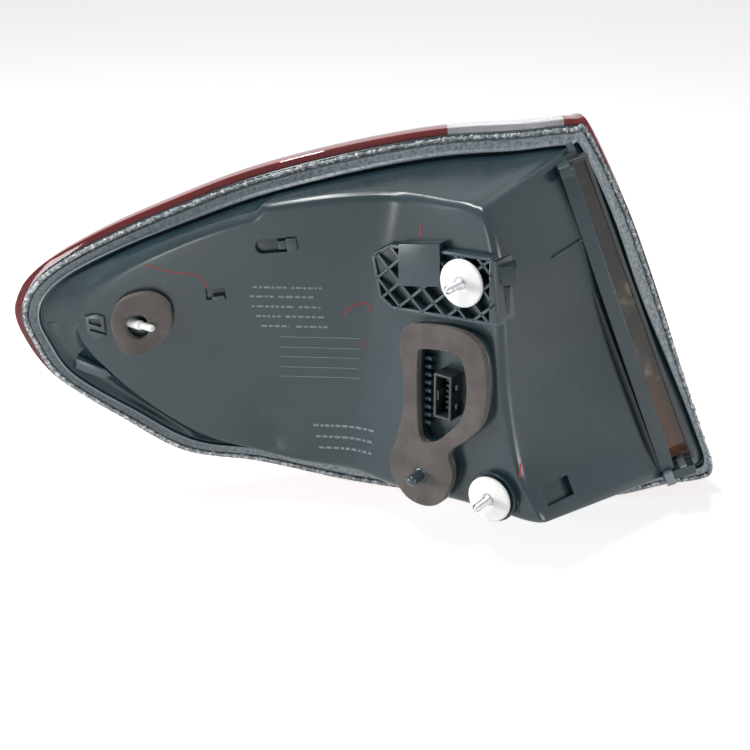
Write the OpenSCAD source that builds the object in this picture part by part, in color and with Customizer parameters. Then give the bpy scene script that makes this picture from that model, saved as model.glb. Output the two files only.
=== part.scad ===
// Wrap-around rear lamp of a car, right-hand side, seen from the body side.
// Frame: X inboard, Y rearward, Z up. The origin is the foot of the upper stud on the mounting plane.
// Three directions carry the form: the chord frame is turned about Z, so that a runs along the lamp,
// b runs from the body side out to the lens, and z stays up.

/* [Housing] */
// Wall of the housing shell
shell_wall = 2.5; // [2:0.1:3.5]
// Distance from the mounting plane back to the flat seat facet
seat_depth = 8.5; // [7:0.5:11]
// Turn of the wing facet against the seat facet, in degrees
wing_angle = 33; // [28:1:37]
// Turn of the lamp's chord against the X axis, in degrees
chord_angle = 36; // [33:1:39]
// Radius that softens the crease between the two facets
crease_r = 3; // [1:0.5:6]
// Radius of the rounded edge round the two facets
edge_r = 9; // [5:0.5:12]
// Depth of the dent at the lower edge of the wing
dent_depth = 6; // [2:0.5:7]

/* [Flange] */
// Depth of the lens joint behind the mounting plane, at the middle of the lamp
joint_depth = 78; // [74:1:84]
// Distance from the joint outline in to the flange's outer edge, where the lens's lip shows
lip_w = 3.5; // [2.5:0.5:4.5]
// Width of the weld flange
flange_w = 10; // [9:0.5:11]
// Thickness of the weld flange
flange_t = 3; // [2:0.2:4]
// Width of the bead land along the flange's outer edge
bead_w = 4.5; // [3:0.5:6]
// Height of each small step on the flange
flange_step = 1.6; // [0.8:0.2:2.4]

/* [Lens] */
// Thickness of the outer lens
lens_t = 3; // [2.4:0.1:4]
// Height of the lens crown over the joint
lens_crown = 80; // [70:1:92]
// Swell of the lens past the flange
lens_swell = 2; // [1:0.2:3]
// Gap at the weld between the lens and the flange
weld_gap = 0.2; // [0.1:0.05:0.3]
// Gap between the red and the clear shot
shot_gap = 0.1; // [0.05:0.05:0.3]

/* [Bezel] */
// Thickness of the metallised bezel
bezel_t = 2.2; // [1.6:0.1:3]
// Height of the bezel crown over the joint
bezel_crown = 46; // [40:1:52]
// Distance from the joint outline in to the bezel
bezel_inset = 6.5; // [5.5:0.5:7.5]

/* [Studs and washers] */
// Diameter of the stud shanks
stud_d = 5; // [4:0.5:6]
// Free length of the studs past the mounting plane
stud_len = 15; // [12:1:20]
// Depth of the stud's foot behind the mounting plane
stud_foot = 11; // [8:0.5:12]
// Diameter of the white washers
washer_d = 28; // [24:1:32]
// Thickness of the white washers
washer_t = 2.5; // [1.5:0.5:4]
// Height of the lower stud under the upper one
stud_drop = 129; // [124:1:132]
// Shift of the lower stud inboard of the upper one
stud_shift = 23; // [20:1:25]
// Clearance round a shank in its bore, on the radius
bore_gap = 0.15; // [0.1:0.05:0.3]
// Diameter of the side pin's thick part
side_pin_d = 6; // [5:0.5:8]
// Length of the side pin outside its gasket
side_pin_len = 20; // [16:1:24]

/* [Gaskets and connector] */
// Thickness of the keyhole gasket
gasket_t = 4; // [3:0.5:5]
// Thickness of the side gasket
side_gasket_t = 5; // [4:0.5:7]
// Diameter of the locating pin
locator_d = 7; // [6:0.5:8]
// Length of the locating pin past the mounting plane
locator_len = 12; // [9:1:15]
// Width of the connector shroud
shroud_w = 12; // [10.5:0.5:13]
// Height of the connector shroud
shroud_h = 28; // [26:0.5:30]
// Wall of the connector shroud
shroud_wall = 1.5; // [1.2:0.1:1.8]
// Depth of the socket in the shroud
socket_depth = 11; // [9:0.5:12]
// Number of contacts
contact_count = 6; // [3:1:6]

/* [Bracket] */
// Height of the rib lattice over the seat facet
lattice_h = 6; // [4.5:0.5:7]
// Thickness of a rib
rib_t = 1.7; // [1.2:0.1:2.4]
// Distance between parallel ribs along X
rib_pitch = 16; // [12:1:20]
// Rise angle of the ribs, in degrees
rib_angle = 42; // [36:1:50]

/* [Lamp board] */
// Distance from the mounting plane to the face of the lamp board's carrier
carrier_y = 62; // [58:1:66]
// Thickness of the carrier plate and of its rims
carrier_t = 2.5; // [2:0.1:3.5]
// Thickness of the circuit boards
board_t = 1.6; // [1.2:0.2:2]
// Outer diameter of the turn reflector
turn_d = 46; // [40:1:46]
// Outer diameter of the reverse reflector
reverse_d = 40; // [34:1:40]
// Wall of the reflector cups
cup_wall = 1.8; // [1.4:0.1:2.4]
// Depth at which the reflector mouths are cut, over the joint
cup_rise = 34; // [30:1:36]
// Number of heat sink fins
fin_count = 8; // [5:1:10]
// Diameter of the light guides
guide_d = 7; // [5:0.5:8]
// Gap between a loose inner part and its seat
fit_gap = 0.3; // [0.2:0.05:0.4]

/* [Hidden] */
$fn = 48;

slate = [0.26, 0.31, 0.33];
foam_brown = [0.36, 0.33, 0.31];

// Steps of the curves between two outline points
curve_steps = 3;
// Slope of the joint plane along the chord
joint_slope = 0.06;
// Where the crease crosses the seat facet, at the height crease_z, and how it leans with height
crease_x = -66;
crease_z = -50;
crease_lean = 0.19;

// Outline of the joint in the chord frame, from the tip along the top, round the inboard end and back
joint_keys = [[-265, -34], [-250, -13], [-214, 8], [-167, 28], [-120, 45], [-63, 59], [-9, 68],
              [38, 70.5], [70, 73], [80, 68.5], [106, 17], [127, -34], [144, -78], [166, -135],
              [174, -158], [168, -165], [144, -168], [110, -175], [60, -177], [0, -170],
              [-60, -159], [-120, -143], [-168, -134], [-208, -109], [-244, -84], [-262, -56]];
// Outline of the two facets in the same order, with the crease ends worked out
facet_top_z = 42;
facet_foot_z = -143;
facet_keys = [[-219, -37], [-212, -22], [-194, -6], [-159, 12], [-121, 27], [-76, 38],
              [crease_a(facet_top_z), facet_top_z], [-10, 43], [6, 43], [14, 38], [21, 10],
              [24, -31], [27, -67], [35, -108], [48, -134], [48, -139], [40, -141], [27, -141],
              [0, -142], [-35, -146], [crease_a(facet_foot_z), facet_foot_z], [-97, -138],
              [-148, -120], [-185, -95], [-210, -70], [-222, -52]];
facet_centre = [crease_a(crease_z), crease_z];
lens_centre = [-30, -45];
// Middle line of the lamp, towards which insets are measured
core_share = 0.55;
core_shift = -7;
core_z = -48;
function core_point(p) = [core_share * p.x + core_shift, core_z];

// Curves and surfaces
function mix(p, q, t) = p + (q - p) * t;
function toward(p, q, d) = p + d * (q - p) / norm(q - p);
function curve_point(a, b, c, d, t) =
    0.5 * (2 * b + (c - a) * t + (2 * a - 5 * b + 4 * c - d) * t * t
    + (3 * b - a - 3 * c + d) * t * t * t);
function closed_curve(keys, steps = curve_steps) =
    let (n = len(keys))
    [for (i = [0:n - 1], j = [0:steps - 1])
        curve_point(keys[(i + n - 1) % n], keys[i], keys[(i + 1) % n], keys[(i + 2) % n],
                    j / steps)];
function crease_at(z) = crease_x + crease_lean * (z - crease_z);
function crease_a(z) = crease_at(z) * cos(chord_angle) + seat_depth * sin(chord_angle);
function seat_b(a) = (seat_depth - a * sin(chord_angle)) / cos(chord_angle);
function wing_b(a, z) =
    (seat_depth - tan(wing_angle) * crease_at(z)
     - a * (sin(chord_angle) - tan(wing_angle) * cos(chord_angle)))
    / (cos(chord_angle) + tan(wing_angle) * sin(chord_angle));
function soft_min(p, q, r) = (p + q - sqrt((p - q) * (p - q) + 4 * r * r)) / 2;
dent_at = [-112, -118];
dent_size = [14, 16];
function dent_b(a, z) =
    dent_depth * exp(-pow((a - dent_at.x) / dent_size.x, 2) - pow((z - dent_at.y) / dent_size.y, 2));
function facet_b(a, z) = soft_min(seat_b(a), wing_b(a, z), crease_r) + dent_b(a, z);
function joint_b(a) = joint_depth + joint_slope * a;
// Place of a seat on the row's Y axis behind either facet
function facet_y(x, z) =
    soft_min(seat_depth, seat_depth + (x - crease_at(z)) * tan(wing_angle), crease_r * cos(chord_angle));

joint_line = closed_curve(joint_keys);
facet_line = closed_curve(facet_keys);
count = len(joint_line);

// Largest share of a short wall that its rounded edge may take
edge_share = 0.4;

// Rings of points, each [a, b, z], with one point for each outline point
function joint_ring(inset, drop) =
    [for (i = [0:count - 1])
        let (p = toward(joint_line[i], core_point(joint_line[i]), inset))
        [p.x, joint_b(p.x) - drop, p.y]];
function facet_ring(scale, inset, lift) =
    [for (i = [0:count - 1])
        let (p = mix(facet_centre, toward(facet_line[i], facet_centre, inset), scale))
        [p.x, facet_b(p.x, p.y) + lift, p.y]];
function mix_ring(r, s, t) = [for (i = [0:count - 1]) mix(r[i], s[i], t)];
function near_ring(r, s, d) =
    [for (i = [0:count - 1]) toward(r[i], s[i], min(d, edge_share * norm(s[i] - r[i])))];
// Dome over the joint plane: crown height, inset of its foot, and share of the outline
function dome_rise(scale) = sqrt(max(0, 1 - pow(scale, 2.5)));
function dome_ring(crown, base, inset, scale) =
    [for (i = [0:count - 1])
        let (p = mix(lens_centre, toward(joint_line[i], core_point(joint_line[i]), inset), scale))
        [p.x, joint_b(p.x) + base + crown * dome_rise(scale), p.y]];

// Solid from a stack of rings that starts and ends in a centre point
module ring_solid(rings, first, last) {
    n = count;
    rows = len(rings);
    points = concat([first], [for (r = rings) each r], [last]);
    end = len(points) - 1;
    faces = concat(
        [for (i = [0:n - 1]) [0, 1 + i, 1 + (i + 1) % n]],
        [for (k = [0:rows - 2], i = [0:n - 1])
            [1 + k * n + i, 1 + (k + 1) * n + (i + 1) % n, 1 + k * n + (i + 1) % n]],
        [for (k = [0:rows - 2], i = [0:n - 1])
            [1 + k * n + i, 1 + (k + 1) * n + i, 1 + (k + 1) * n + (i + 1) % n]],
        [for (i = [0:n - 1]) [end, 1 + (rows - 1) * n + (i + 1) % n, 1 + (rows - 1) * n + i]]);
    polyhedron(points, faces);
}

// Round bar along a path, with its sides counted from a fixed direction
tube_sides = 8;
module tube(path, d, upright) {
    n = len(path);
    points = [for (i = [0:n - 1])
        let (t = path[min(i + 1, n - 1)] - path[max(i - 1, 0)],
             side = cross(t, upright) / norm(cross(t, upright)),
             up = cross(side, t) / norm(cross(side, t)))
        for (k = [0:tube_sides - 1])
            path[i] + d / 2 * (cos(360 * k / tube_sides) * side + sin(360 * k / tube_sides) * up)];
    faces = concat(
        [[for (k = [tube_sides - 1:-1:0]) k]],
        [for (i = [0:n - 2], k = [0:tube_sides - 1])
            [i * tube_sides + k, (i + 1) * tube_sides + (k + 1) % tube_sides,
             (i + 1) * tube_sides + k]],
        [for (i = [0:n - 2], k = [0:tube_sides - 1])
            [i * tube_sides + k, i * tube_sides + (k + 1) % tube_sides,
             (i + 1) * tube_sides + (k + 1) % tube_sides]],
        [[for (k = [0:tube_sides - 1]) (n - 1) * tube_sides + k]]);
    polyhedron(points, faces);
}

// Frames and prisms
module in_chord() rotate([0, 0, chord_angle]) children();
module chord_prism(b0, b1)
    in_chord() translate([0, b1, 0]) rotate([90, 0, 0]) linear_extrude(b1 - b0) children();
module y_prism(y0, y1) translate([0, y1, 0]) rotate([90, 0, 0]) linear_extrude(y1 - y0) children();
module y_rod(x, z, y0, y1, d) translate([x, y0, z]) rotate([-90, 0, 0]) cylinder(h = y1 - y0, d = d);
module bar(p, q, w)
    translate(p) rotate(atan2(q.y - p.y, q.x - p.x)) translate([0, -w / 2])
        square([norm(q - p), w]);
module rim_bar(p, q, w) bar(toward(p, q, -w / 2), toward(q, p, -w / 2), w);
module slot(p, q, w) {
    bar(p, q, w);
    translate(p) circle(d = w);
    translate(q) circle(d = w);
}

// Housing shell
shell_mid = 0.5;
module shell() {
    flange_in = lip_w + flange_w;
    joint_in = joint_ring(flange_in, flange_t + 2 * flange_step);
    edge = facet_ring(1, 0, 0);
    wall_end = near_ring(edge, joint_in, edge_r);
    land = facet_ring(1, edge_r, 0);
    round_ring = mix_ring(mix_ring(wall_end, land, 0.5), edge, 0.45);
    joint_back = joint_ring(flange_in + shell_wall, 0);
    edge_back = facet_ring(1, shell_wall, shell_wall);
    wall_back = near_ring(edge_back, joint_back, edge_r);
    land_back = facet_ring(1, shell_wall + edge_r, shell_wall);
    round_back = mix_ring(mix_ring(wall_back, land_back, 0.5), edge_back, 0.45);
    centre_b = facet_b(facet_centre.x, facet_centre.y);
    in_chord() ring_solid(
        [facet_ring(0.35, 0, 0), facet_ring(0.65, 0, 0), land, round_ring, wall_end,
         mix_ring(wall_end, joint_in, shell_mid), joint_in,
         joint_ring(flange_in - 1, flange_t + flange_step),
         joint_ring(lip_w + bead_w + 0.5, flange_t + flange_step),
         joint_ring(lip_w + bead_w, flange_t), joint_ring(lip_w, flange_t), joint_ring(lip_w, 0),
         joint_back,
         mix_ring(wall_back, joint_back, shell_mid), wall_back, round_back, land_back,
         facet_ring(0.6, 0, shell_wall), facet_ring(0.3, 0, shell_wall)],
        [facet_centre.x, centre_b, facet_centre.y],
        [facet_centre.x, centre_b + shell_wall, facet_centre.y]);
}

// Keyhole pad, its gasket and the pocket inside it
key_outer = [[-41, -46], [-37, -34], [-24, -30], [-6, -28], [8, -30], [16, -38], [20, -60],
             [17, -82], [6, -96], [-5, -107], [-2, -122], [-9, -140], [-21, -147], [-35, -145],
             [-46, -133], [-47, -121], [-42, -104], [-38, -84], [-39, -64]];
key_inner = [[-28, -50], [-24, -45], [-4, -43], [3, -48], [6, -64], [3, -82], [-8, -96],
             [-18, -104], [-26, -101], [-28, -76]];
pad_y = gasket_t;
pocket_floor = seat_depth + 3.5;
key_curve = closed_curve(key_outer);
key_hole = closed_curve(key_inner);
header_at = [-11, -72.5];
locator_at = [-25, -127];
locator_root_d = locator_d + 1.5;
tooth_pitch = 5.2;
tooth_count = 9;
tooth_w = 4.5;
tooth_h = 2.2;
tooth_rise = 5;
tooth_x = -27.5;
tooth_z = -96;
module pocket_solid() y_prism(pad_y + 1, pocket_floor + shell_wall) polygon(key_curve);
module pocket_cut() {
    y_prism(-1, pocket_floor) polygon(key_hole);
    header_hole();
}
module header_hole() {
    w = shroud_w + 2 * fit_gap;
    h = shroud_h + 2 * fit_gap;
    translate([header_at.x - w / 2, -1, header_at.y - h / 2])
        cube([w, pocket_floor + shell_wall + 2, h]);
}
module teeth() {
    for (k = [0:tooth_count - 1])
        translate([tooth_x, pocket_floor - tooth_rise, tooth_z + k * tooth_pitch])
            cube([tooth_w, tooth_rise + 1, tooth_h]);
}

// Rib-lattice bracket round the upper stud
lattice_y = seat_depth - lattice_h;
lattice_outline = [[-62, 4], [-50, 12], [-15, 15], [18, 17], [24, -20], [-48, -25.5], [-57, -20]];
stud_boss_d = 13;
// Thicker root of a stud, from the mounting plane back
root_d = stud_d + 1.4;
plate_outline = [[-43, 15], [-15, 20.5], [-14, -5], [-43, -10.5]];
lattice_mid_z = -9;
rib_start = 5;
rib_reach = 60;
plate_rise = 1.5;
end_rib = [[17, 16], [21, 16], [24.8, -20], [18, -20]];
upper_lug = [[20, 12], [31, 12], [31, 1], [20, 1]];
lower_lug = [[20, 0], [28, 0], [28, -16], [20, -16]];
upper_lug_b = -7;
lower_lug_b = -5;
lug_back = 12;
module lattice() {
    dx = rib_reach * cos(rib_angle);
    dz = rib_reach * sin(rib_angle);
    n = len(lattice_outline);
    intersection() {
        y_prism(lattice_y, seat_depth + 1) polygon(lattice_outline);
        y_prism(lattice_y, seat_depth + 1) union() {
            for (k = [-5:4]) {
                foot = k * rib_pitch + rib_start;
                for (side = [-1, 1])
                    bar([foot - dx, lattice_mid_z - side * dz], [foot + dx, lattice_mid_z + side * dz], rib_t);
            }
        }
    }
    y_prism(lattice_y, seat_depth + 1)
        for (i = [0:n - 1])
            rim_bar(lattice_outline[i], lattice_outline[(i + 1) % n], rib_t);
    y_prism(lattice_y - plate_rise, seat_depth + 1) polygon(plate_outline);
    y_prism(lattice_y, seat_depth + lug_back) polygon(end_rib);
    chord_prism(upper_lug_b, lug_back) polygon(upper_lug);
    chord_prism(lower_lug_b, lug_back) polygon(lower_lug);
}

// Window strip in the inboard wall: a frame along the flange, with a rail on its near side
strip_at = [68, 52];
strip_tilt = 21;
strip_len = 208;
rail_w = 9;
rail_face = 54;
pane_b = 68;
pane_t = 2.5;
frame_end = 80;
strip_top_w = 7.5;
strip_foot_w = 12;
pane_lip = 1.5;
module in_strip() in_chord() translate([strip_at.x, 0, strip_at.y]) rotate([0, -strip_tilt, 0]) children();
module strip_prism(b0, b1)
    in_strip() translate([0, b1, 0]) rotate([90, 0, 0]) linear_extrude(b1 - b0) children();
function strip_outline(grow) =
    [[-grow, grow], [strip_top_w + grow, grow], [strip_foot_w + grow, -strip_len - grow],
     [-grow, -strip_len - grow]];
rail_head_w = 7;
rail_head_h = 7;
rail_head_rise = 4;
frame_rim = 2.4;
frame_front = 5;
rail_foot_rise = 2;
module rail_block(left, right, top, bottom)
    polygon([[left, top], [right, top], [right, bottom], [left, bottom]]);
module rail() {
    strip_prism(rail_face, frame_end) rail_block(-rail_w, 0, 0, -strip_len);
    strip_prism(rail_face - rail_head_rise, frame_end)
        rail_block(-rail_w, rail_head_w - rail_w, rail_head_rise, rail_head_rise - rail_head_h);
    strip_prism(rail_face - rail_foot_rise, frame_end)
        rail_block(-rail_w, strip_foot_w, -strip_len - 1, -strip_len - rail_head_h);
    strip_prism(pane_b - frame_front, frame_end) polygon(strip_outline(frame_rim));
}
module strip_cut() {
    strip_prism(rail_face - 1, pane_b + pane_t + fit_gap) polygon(strip_outline(0));
    strip_prism(rail_face, frame_end + 20) polygon(strip_outline(-pane_lip));
}

// Seats and bosses inside the housing
leg_spots = [[-62, 34], [3, 33], [-62, -36], [5, -36]];
leg_d = 9;
screw_d = 3;
boss_top = 20;
brake_centre = [-104, -52];
brake_len = 92;
brake_w = 30;
brake_b = 70;
brake_spots = [brake_centre + [-brake_len / 2 - 11, 0], brake_centre + [brake_len / 2 + 11, 0]];
nozzle_at = [65, 58];
nozzle_d = 9;
nozzle_foot = -171;
nozzle_top = -157;
air_bore = 4;
module inner_bosses() {
    for (p = leg_spots) y_rod(p.x, p.y, facet_y(p.x, p.y) + 1, boss_top, leg_d);
    for (p = brake_spots)
        in_chord() translate([p.x, facet_b(p.x, p.y) + 1, p.y]) rotate([-90, 0, 0])
            cylinder(h = brake_b - facet_b(p.x, p.y) - 1, d = leg_d);
    y_rod(0, 0, lattice_y, stud_foot + shell_wall, stud_boss_d);
    y_rod(stud_shift, -stud_drop, lattice_y, stud_foot + shell_wall, stud_boss_d);
    y_rod(stud_shift, -stud_drop, lattice_y + 2, seat_depth + 2, washer_d + 3);
    translate(side_at) rotate([0, -90, 0]) translate([0, 0, -1])
        cylinder(h = side_pin_foot + 4, d = side_pin_d + 5);
}
module inner_bores() {
    for (p = leg_spots) y_rod(p.x, p.y, boss_top - 8, boss_top + 1, screw_d + 2 * bore_gap);
    for (p = brake_spots)
        in_chord() translate([p.x, brake_b - 8, p.y]) rotate([-90, 0, 0])
            cylinder(h = 9, d = screw_d + 2 * bore_gap);
    y_rod(0, 0, -1, stud_foot, root_d + 2 * bore_gap);
    y_rod(stud_shift, -stud_drop, -1, stud_foot, root_d + 2 * bore_gap);
    in_chord() translate([nozzle_at.x, nozzle_at.y, nozzle_foot - 1])
        cylinder(h = 30, d = air_bore);
    translate(side_at) rotate([0, -90, 0]) translate([0, 0, -12])
        cylinder(h = 12 + side_pin_foot + bore_gap, d = side_pin_d + 2 * bore_gap);
}

// Side pin and its seat on the wing
side_at = [-190, -72, -43];
side_pin_foot = 9;
side_gasket_hole = [
    [4.6, 4.2], [9.4, 0.2], [9.6, -6.2], [5.2, -10.4], [-1.1, -10],
    [-13.4, -6.4], [-17.2, -1.9], [-16.2, 4.3], [-12.2, 7.9], [-6.9, 7.9]
];
side_gasket_keys = [[-19, 17], [-2, 24], [14, 18], [20, 4], [16, -10], [2, -21], [-12, -22],
                    [-18, -12], [-21, 4]];
// A point on the wing facet behind the middle of the side gasket, and the facet's tilt there
wing_at = [-183.4, -42];
wing_tilt = atan(crease_lean * sin(wing_angle));
module on_wing()
    translate([wing_at.x, facet_y(wing_at.x, wing_at.y), wing_at.y])
        rotate([0, 0, wing_angle]) rotate([wing_tilt, 0, 0]) children();

module housing() color(slate) difference() {
    union() {
        difference() {
            union() {
                shell();
                pocket_solid();
                y_prism(pad_y, pocket_floor) polygon(key_curve);
            }
            pocket_cut();
        }
        teeth();
        lattice();
        rail();
        inner_bosses();
        locator();
        wing_details();
        nozzle();
    }
    strip_cut();
    inner_bores();
    wing_pockets();
}
module locator() {
    y_rod(locator_at.x, locator_at.y, -locator_len + locator_d / 2, 1, locator_d);
    y_rod(locator_at.x, locator_at.y, 0, pad_y + 1, locator_root_d);
    translate([locator_at.x, -locator_len + locator_d / 2, locator_at.y]) sphere(d = locator_d);
}
// Slot with its stepped lug, hook pocket, clip seat and wedge on the wing
slot_at = [-105, 9];
slot_w = 9;
slot_reach = 8;
slot_deep = 6;
slot_b = facet_b(slot_at.x, slot_at.y);
hook_at = [-142.5, -23];
hook_deep = 4;
hook_b = facet_b(hook_at.x, hook_at.y);
cup_rim = 2;
clip_outline = [[-223, -39], [-216, -37.5], [-211, -39], [-211, -52], [-217, -53.5], [-222, -50]];
clip_rise = 2.2;
clip_b = facet_b(-214, -46);
wedge_outline = [[-231, -68], [-213, -76], [-210, -80], [-216, -82], [-232, -75]];
wedge_rise = 2.5;
wedge_b = facet_b(-220, -75);
pocket_at = [60.2, -5.5, -127.1];
pocket_size = [24, 12];
pocket_deep = 5;
pocket_turn = 43;
pocket_lean = 30;
pocket_inside = 0.9;
module slot_shape(grow) slot(slot_at - [slot_reach, 0.8], slot_at + [slot_reach, 0.8], slot_w + 2 * grow);
module hook_shape(grow)
    bar(hook_at - [6 + grow, 0.3], hook_at + [6 + grow, 0.3], 7.5 + 2 * grow);
module wing_details() {
    difference() {
        chord_prism(slot_b + 1, slot_b + slot_deep + cup_rim) slot_shape(cup_rim);
        chord_prism(slot_b, slot_b + slot_deep) slot_shape(0);
    }
    chord_prism(slot_b - 3, slot_b + slot_deep + 1)
        bar(slot_at + [6, 0.6], slot_at + [12, 1.2], slot_w - 1);
    chord_prism(slot_b - 1, slot_b + slot_deep + 1)
        bar(slot_at + [1, 0.1], slot_at + [6.5, 0.7], slot_w - 4);
    difference() {
        chord_prism(hook_b + 1, hook_b + hook_deep + cup_rim) hook_shape(cup_rim);
        chord_prism(hook_b, hook_b + hook_deep) hook_shape(0);
    }
    chord_prism(hook_b - 1.5, hook_b + hook_deep + 1)
        bar(hook_at + [-2, -2.6], hook_at + [5.5, -2], 2.4);
    difference() {
        chord_prism(clip_b - clip_rise, clip_b + 3) polygon(clip_outline);
        chord_prism(clip_b - clip_rise - 1, clip_b - 0.2) bar([-220, -46], [-205, -50], 3);
    }
    chord_prism(wedge_b - wedge_rise, wedge_b + 4) polygon(wedge_outline);
    difference() {
        pocket_box(pocket_inside, pocket_deep + cup_rim) pocket_shape(cup_rim);
        pocket_box(0, pocket_deep) pocket_shape(0);
    }
}
module pocket_shape(grow) square([pocket_size.x + 2 * grow, pocket_size.y + 2 * grow], center = true);
// Frame on the inboard wall at the lower pocket, with depth counted from the wall's face
module pocket_box(d0, d1)
    in_chord() translate([pocket_at.x, pocket_at.y, pocket_at.z]) rotate([0, 0, pocket_turn]) rotate([-pocket_lean, 0, 0])
        rotate([90, 0, 0]) translate([0, 0, -d1]) linear_extrude(d1 - d0) children();
module wing_pockets() {
    chord_prism(slot_b - 12, slot_b + slot_deep) difference() {
        slot_shape(0);
        bar(slot_at + [1, 0.1], slot_at + [12, 1.2], slot_w - 1);
    }
    chord_prism(hook_b - 9, hook_b + hook_deep) difference() {
        hook_shape(0);
        bar(hook_at + [-2, -2.6], hook_at + [5.5, -2], 2.4);
    }
    pocket_box(-9, pocket_deep) pocket_shape(0);
}
module nozzle()
    in_chord() translate([nozzle_at.x, nozzle_at.y, nozzle_foot])
        cylinder(h = nozzle_top - nozzle_foot, d = nozzle_d);

// Outer lens
lens_scales = [0.985, 0.95, 0.89, 0.8, 0.67, 0.5, 0.28];
lens_back_scales = [0.28, 0.5, 0.67, 0.8, 0.89, 0.95, 0.985];
lens_foot = 3;
// Width of the lens's foot on the flange
foot_w = 2.4;
module lens_shell() {
    crown_back = lens_crown - lens_t;
    in_chord() ring_solid(
        concat([for (s = lens_back_scales) dome_ring(crown_back, lens_foot, lens_t + 1, s)],
               [dome_ring(crown_back, weld_gap, lip_w + foot_w, 1),
                dome_ring(crown_back, weld_gap, 0.8 - lens_swell, 1),
                dome_ring(lens_crown, weld_gap + 1, -lens_swell, 1)],
               [for (i = [0:len(lens_scales) - 1])
                   dome_ring(lens_crown, lens_foot, -lens_swell, lens_scales[i])]),
        [lens_centre.x, joint_b(lens_centre.x) + lens_foot + crown_back, lens_centre.y],
        [lens_centre.x, joint_b(lens_centre.x) + lens_foot + lens_crown, lens_centre.y]);
}
clear_keys = [[-8, 110], [60, 110], [66, 60], [100, -30], [106, -64], [92, -78], [30, -78],
              [16, -64], [12, -20], [-3, 50]];
module clear_zone(grow) {
    chord_prism(40, 200) union() {
        polygon(clear_keys);
        if (grow > 0)
            for (i = [0:len(clear_keys) - 1])
                rim_bar(clear_keys[i], clear_keys[(i + 1) % len(clear_keys)], 2 * grow);
    }
}
module lens_red() color([0.72, 0.03, 0.05]) difference() {
    lens_shell();
    clear_zone(shot_gap);
}
module lens_clear() color([0.9, 0.92, 0.93]) intersection() {
    lens_shell();
    clear_zone(0);
}
module inboard_window() color([0.42, 0.24, 0.12])
    strip_prism(pane_b, pane_b + pane_t) polygon(strip_outline(-fit_gap));

// Studs and washers
module stud() {
    y_rod(0, 0, -stud_len + stud_d / 2, 1, stud_d);
    y_rod(0, 0, 0, stud_foot - fit_gap, root_d);
    translate([0, -stud_len + stud_d / 2, 0]) rotate([90, 0, 0])
        cylinder(h = stud_d / 2, d1 = stud_d, d2 = stud_d * 0.4);
}
module washer() difference() {
    y_rod(0, 0, 0, washer_t, washer_d);
    y_rod(0, 0, -1, washer_t + 1, root_d + 2 * bore_gap);
}
module at_lower() translate([stud_shift, 0, -stud_drop]) children();
module upper_stud() color([0.78, 0.79, 0.8]) stud();
module lower_stud() color([0.78, 0.79, 0.8]) at_lower() stud();
module upper_washer() color([0.95, 0.95, 0.94]) washer();
module lower_washer() color([0.95, 0.95, 0.94]) at_lower() washer();
module side_pin() color([0.92, 0.92, 0.9])
    translate(side_at) rotate([0, 90, 0]) translate([0, 0, -side_pin_foot]) {
        cylinder(h = side_pin_foot + side_pin_len * 0.5, d = side_pin_d);
        cylinder(h = side_pin_foot + side_pin_len, d = side_pin_d * 0.72);
    }
module side_gasket() color(foam_brown) difference() {
    on_wing() y_prism(-side_gasket_t - fit_gap, -fit_gap) polygon(closed_curve(side_gasket_keys));
    on_wing() y_prism(-side_gasket_t - 9, 9) polygon(closed_curve(side_gasket_hole));
}
module connector_gasket() color(foam_brown) difference() {
    y_prism(0, gasket_t) polygon(key_curve);
    y_prism(-1, gasket_t + 1) polygon(key_hole);
    y_rod(locator_at.x, locator_at.y, -1, gasket_t + 1, locator_root_d + 2 * bore_gap);
}

// Connector
header_front = 1;
header_back = pocket_floor + shell_wall + 8;
contact_t = 0.8;
contact_start = header_front + 6;
contact_end = header_back + 3;
module connector_header() color(slate) translate([header_at.x, 0, header_at.y]) difference() {
    union() {
        translate([-shroud_w / 2, header_front, -shroud_h / 2])
            cube([shroud_w, header_back - header_front, shroud_h]);
        translate([-shroud_w / 2 - 2, pocket_floor + shell_wall, -shroud_h / 2 - 2])
            cube([shroud_w + 4, 3, shroud_h + 4]);
    }
    translate([-shroud_w / 2 + shroud_wall, header_front - 1, -shroud_h / 2 + shroud_wall])
        cube([shroud_w - 2 * shroud_wall, socket_depth + 1, shroud_h - 2 * shroud_wall]);
    for (z = [-6, 6])
        translate([0, header_front - 1, z - 1]) cube([shroud_w, 6, 2.4]);
    contact_row(bore_gap);
}
module contact_row(grow) {
    pitch = (shroud_h - 2 * shroud_wall - 4) / contact_count;
    for (k = [0:contact_count - 1])
        translate([-1.2 - grow, contact_start, (k - (contact_count - 1) / 2) * pitch - contact_t - grow])
            cube([2.4 + 2 * grow, contact_end - contact_start, 2 * contact_t + 2 * grow]);
}
module connector_contacts() color([0.8, 0.65, 0.3])
    translate([header_at.x, 0, header_at.y]) contact_row(0);

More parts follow.
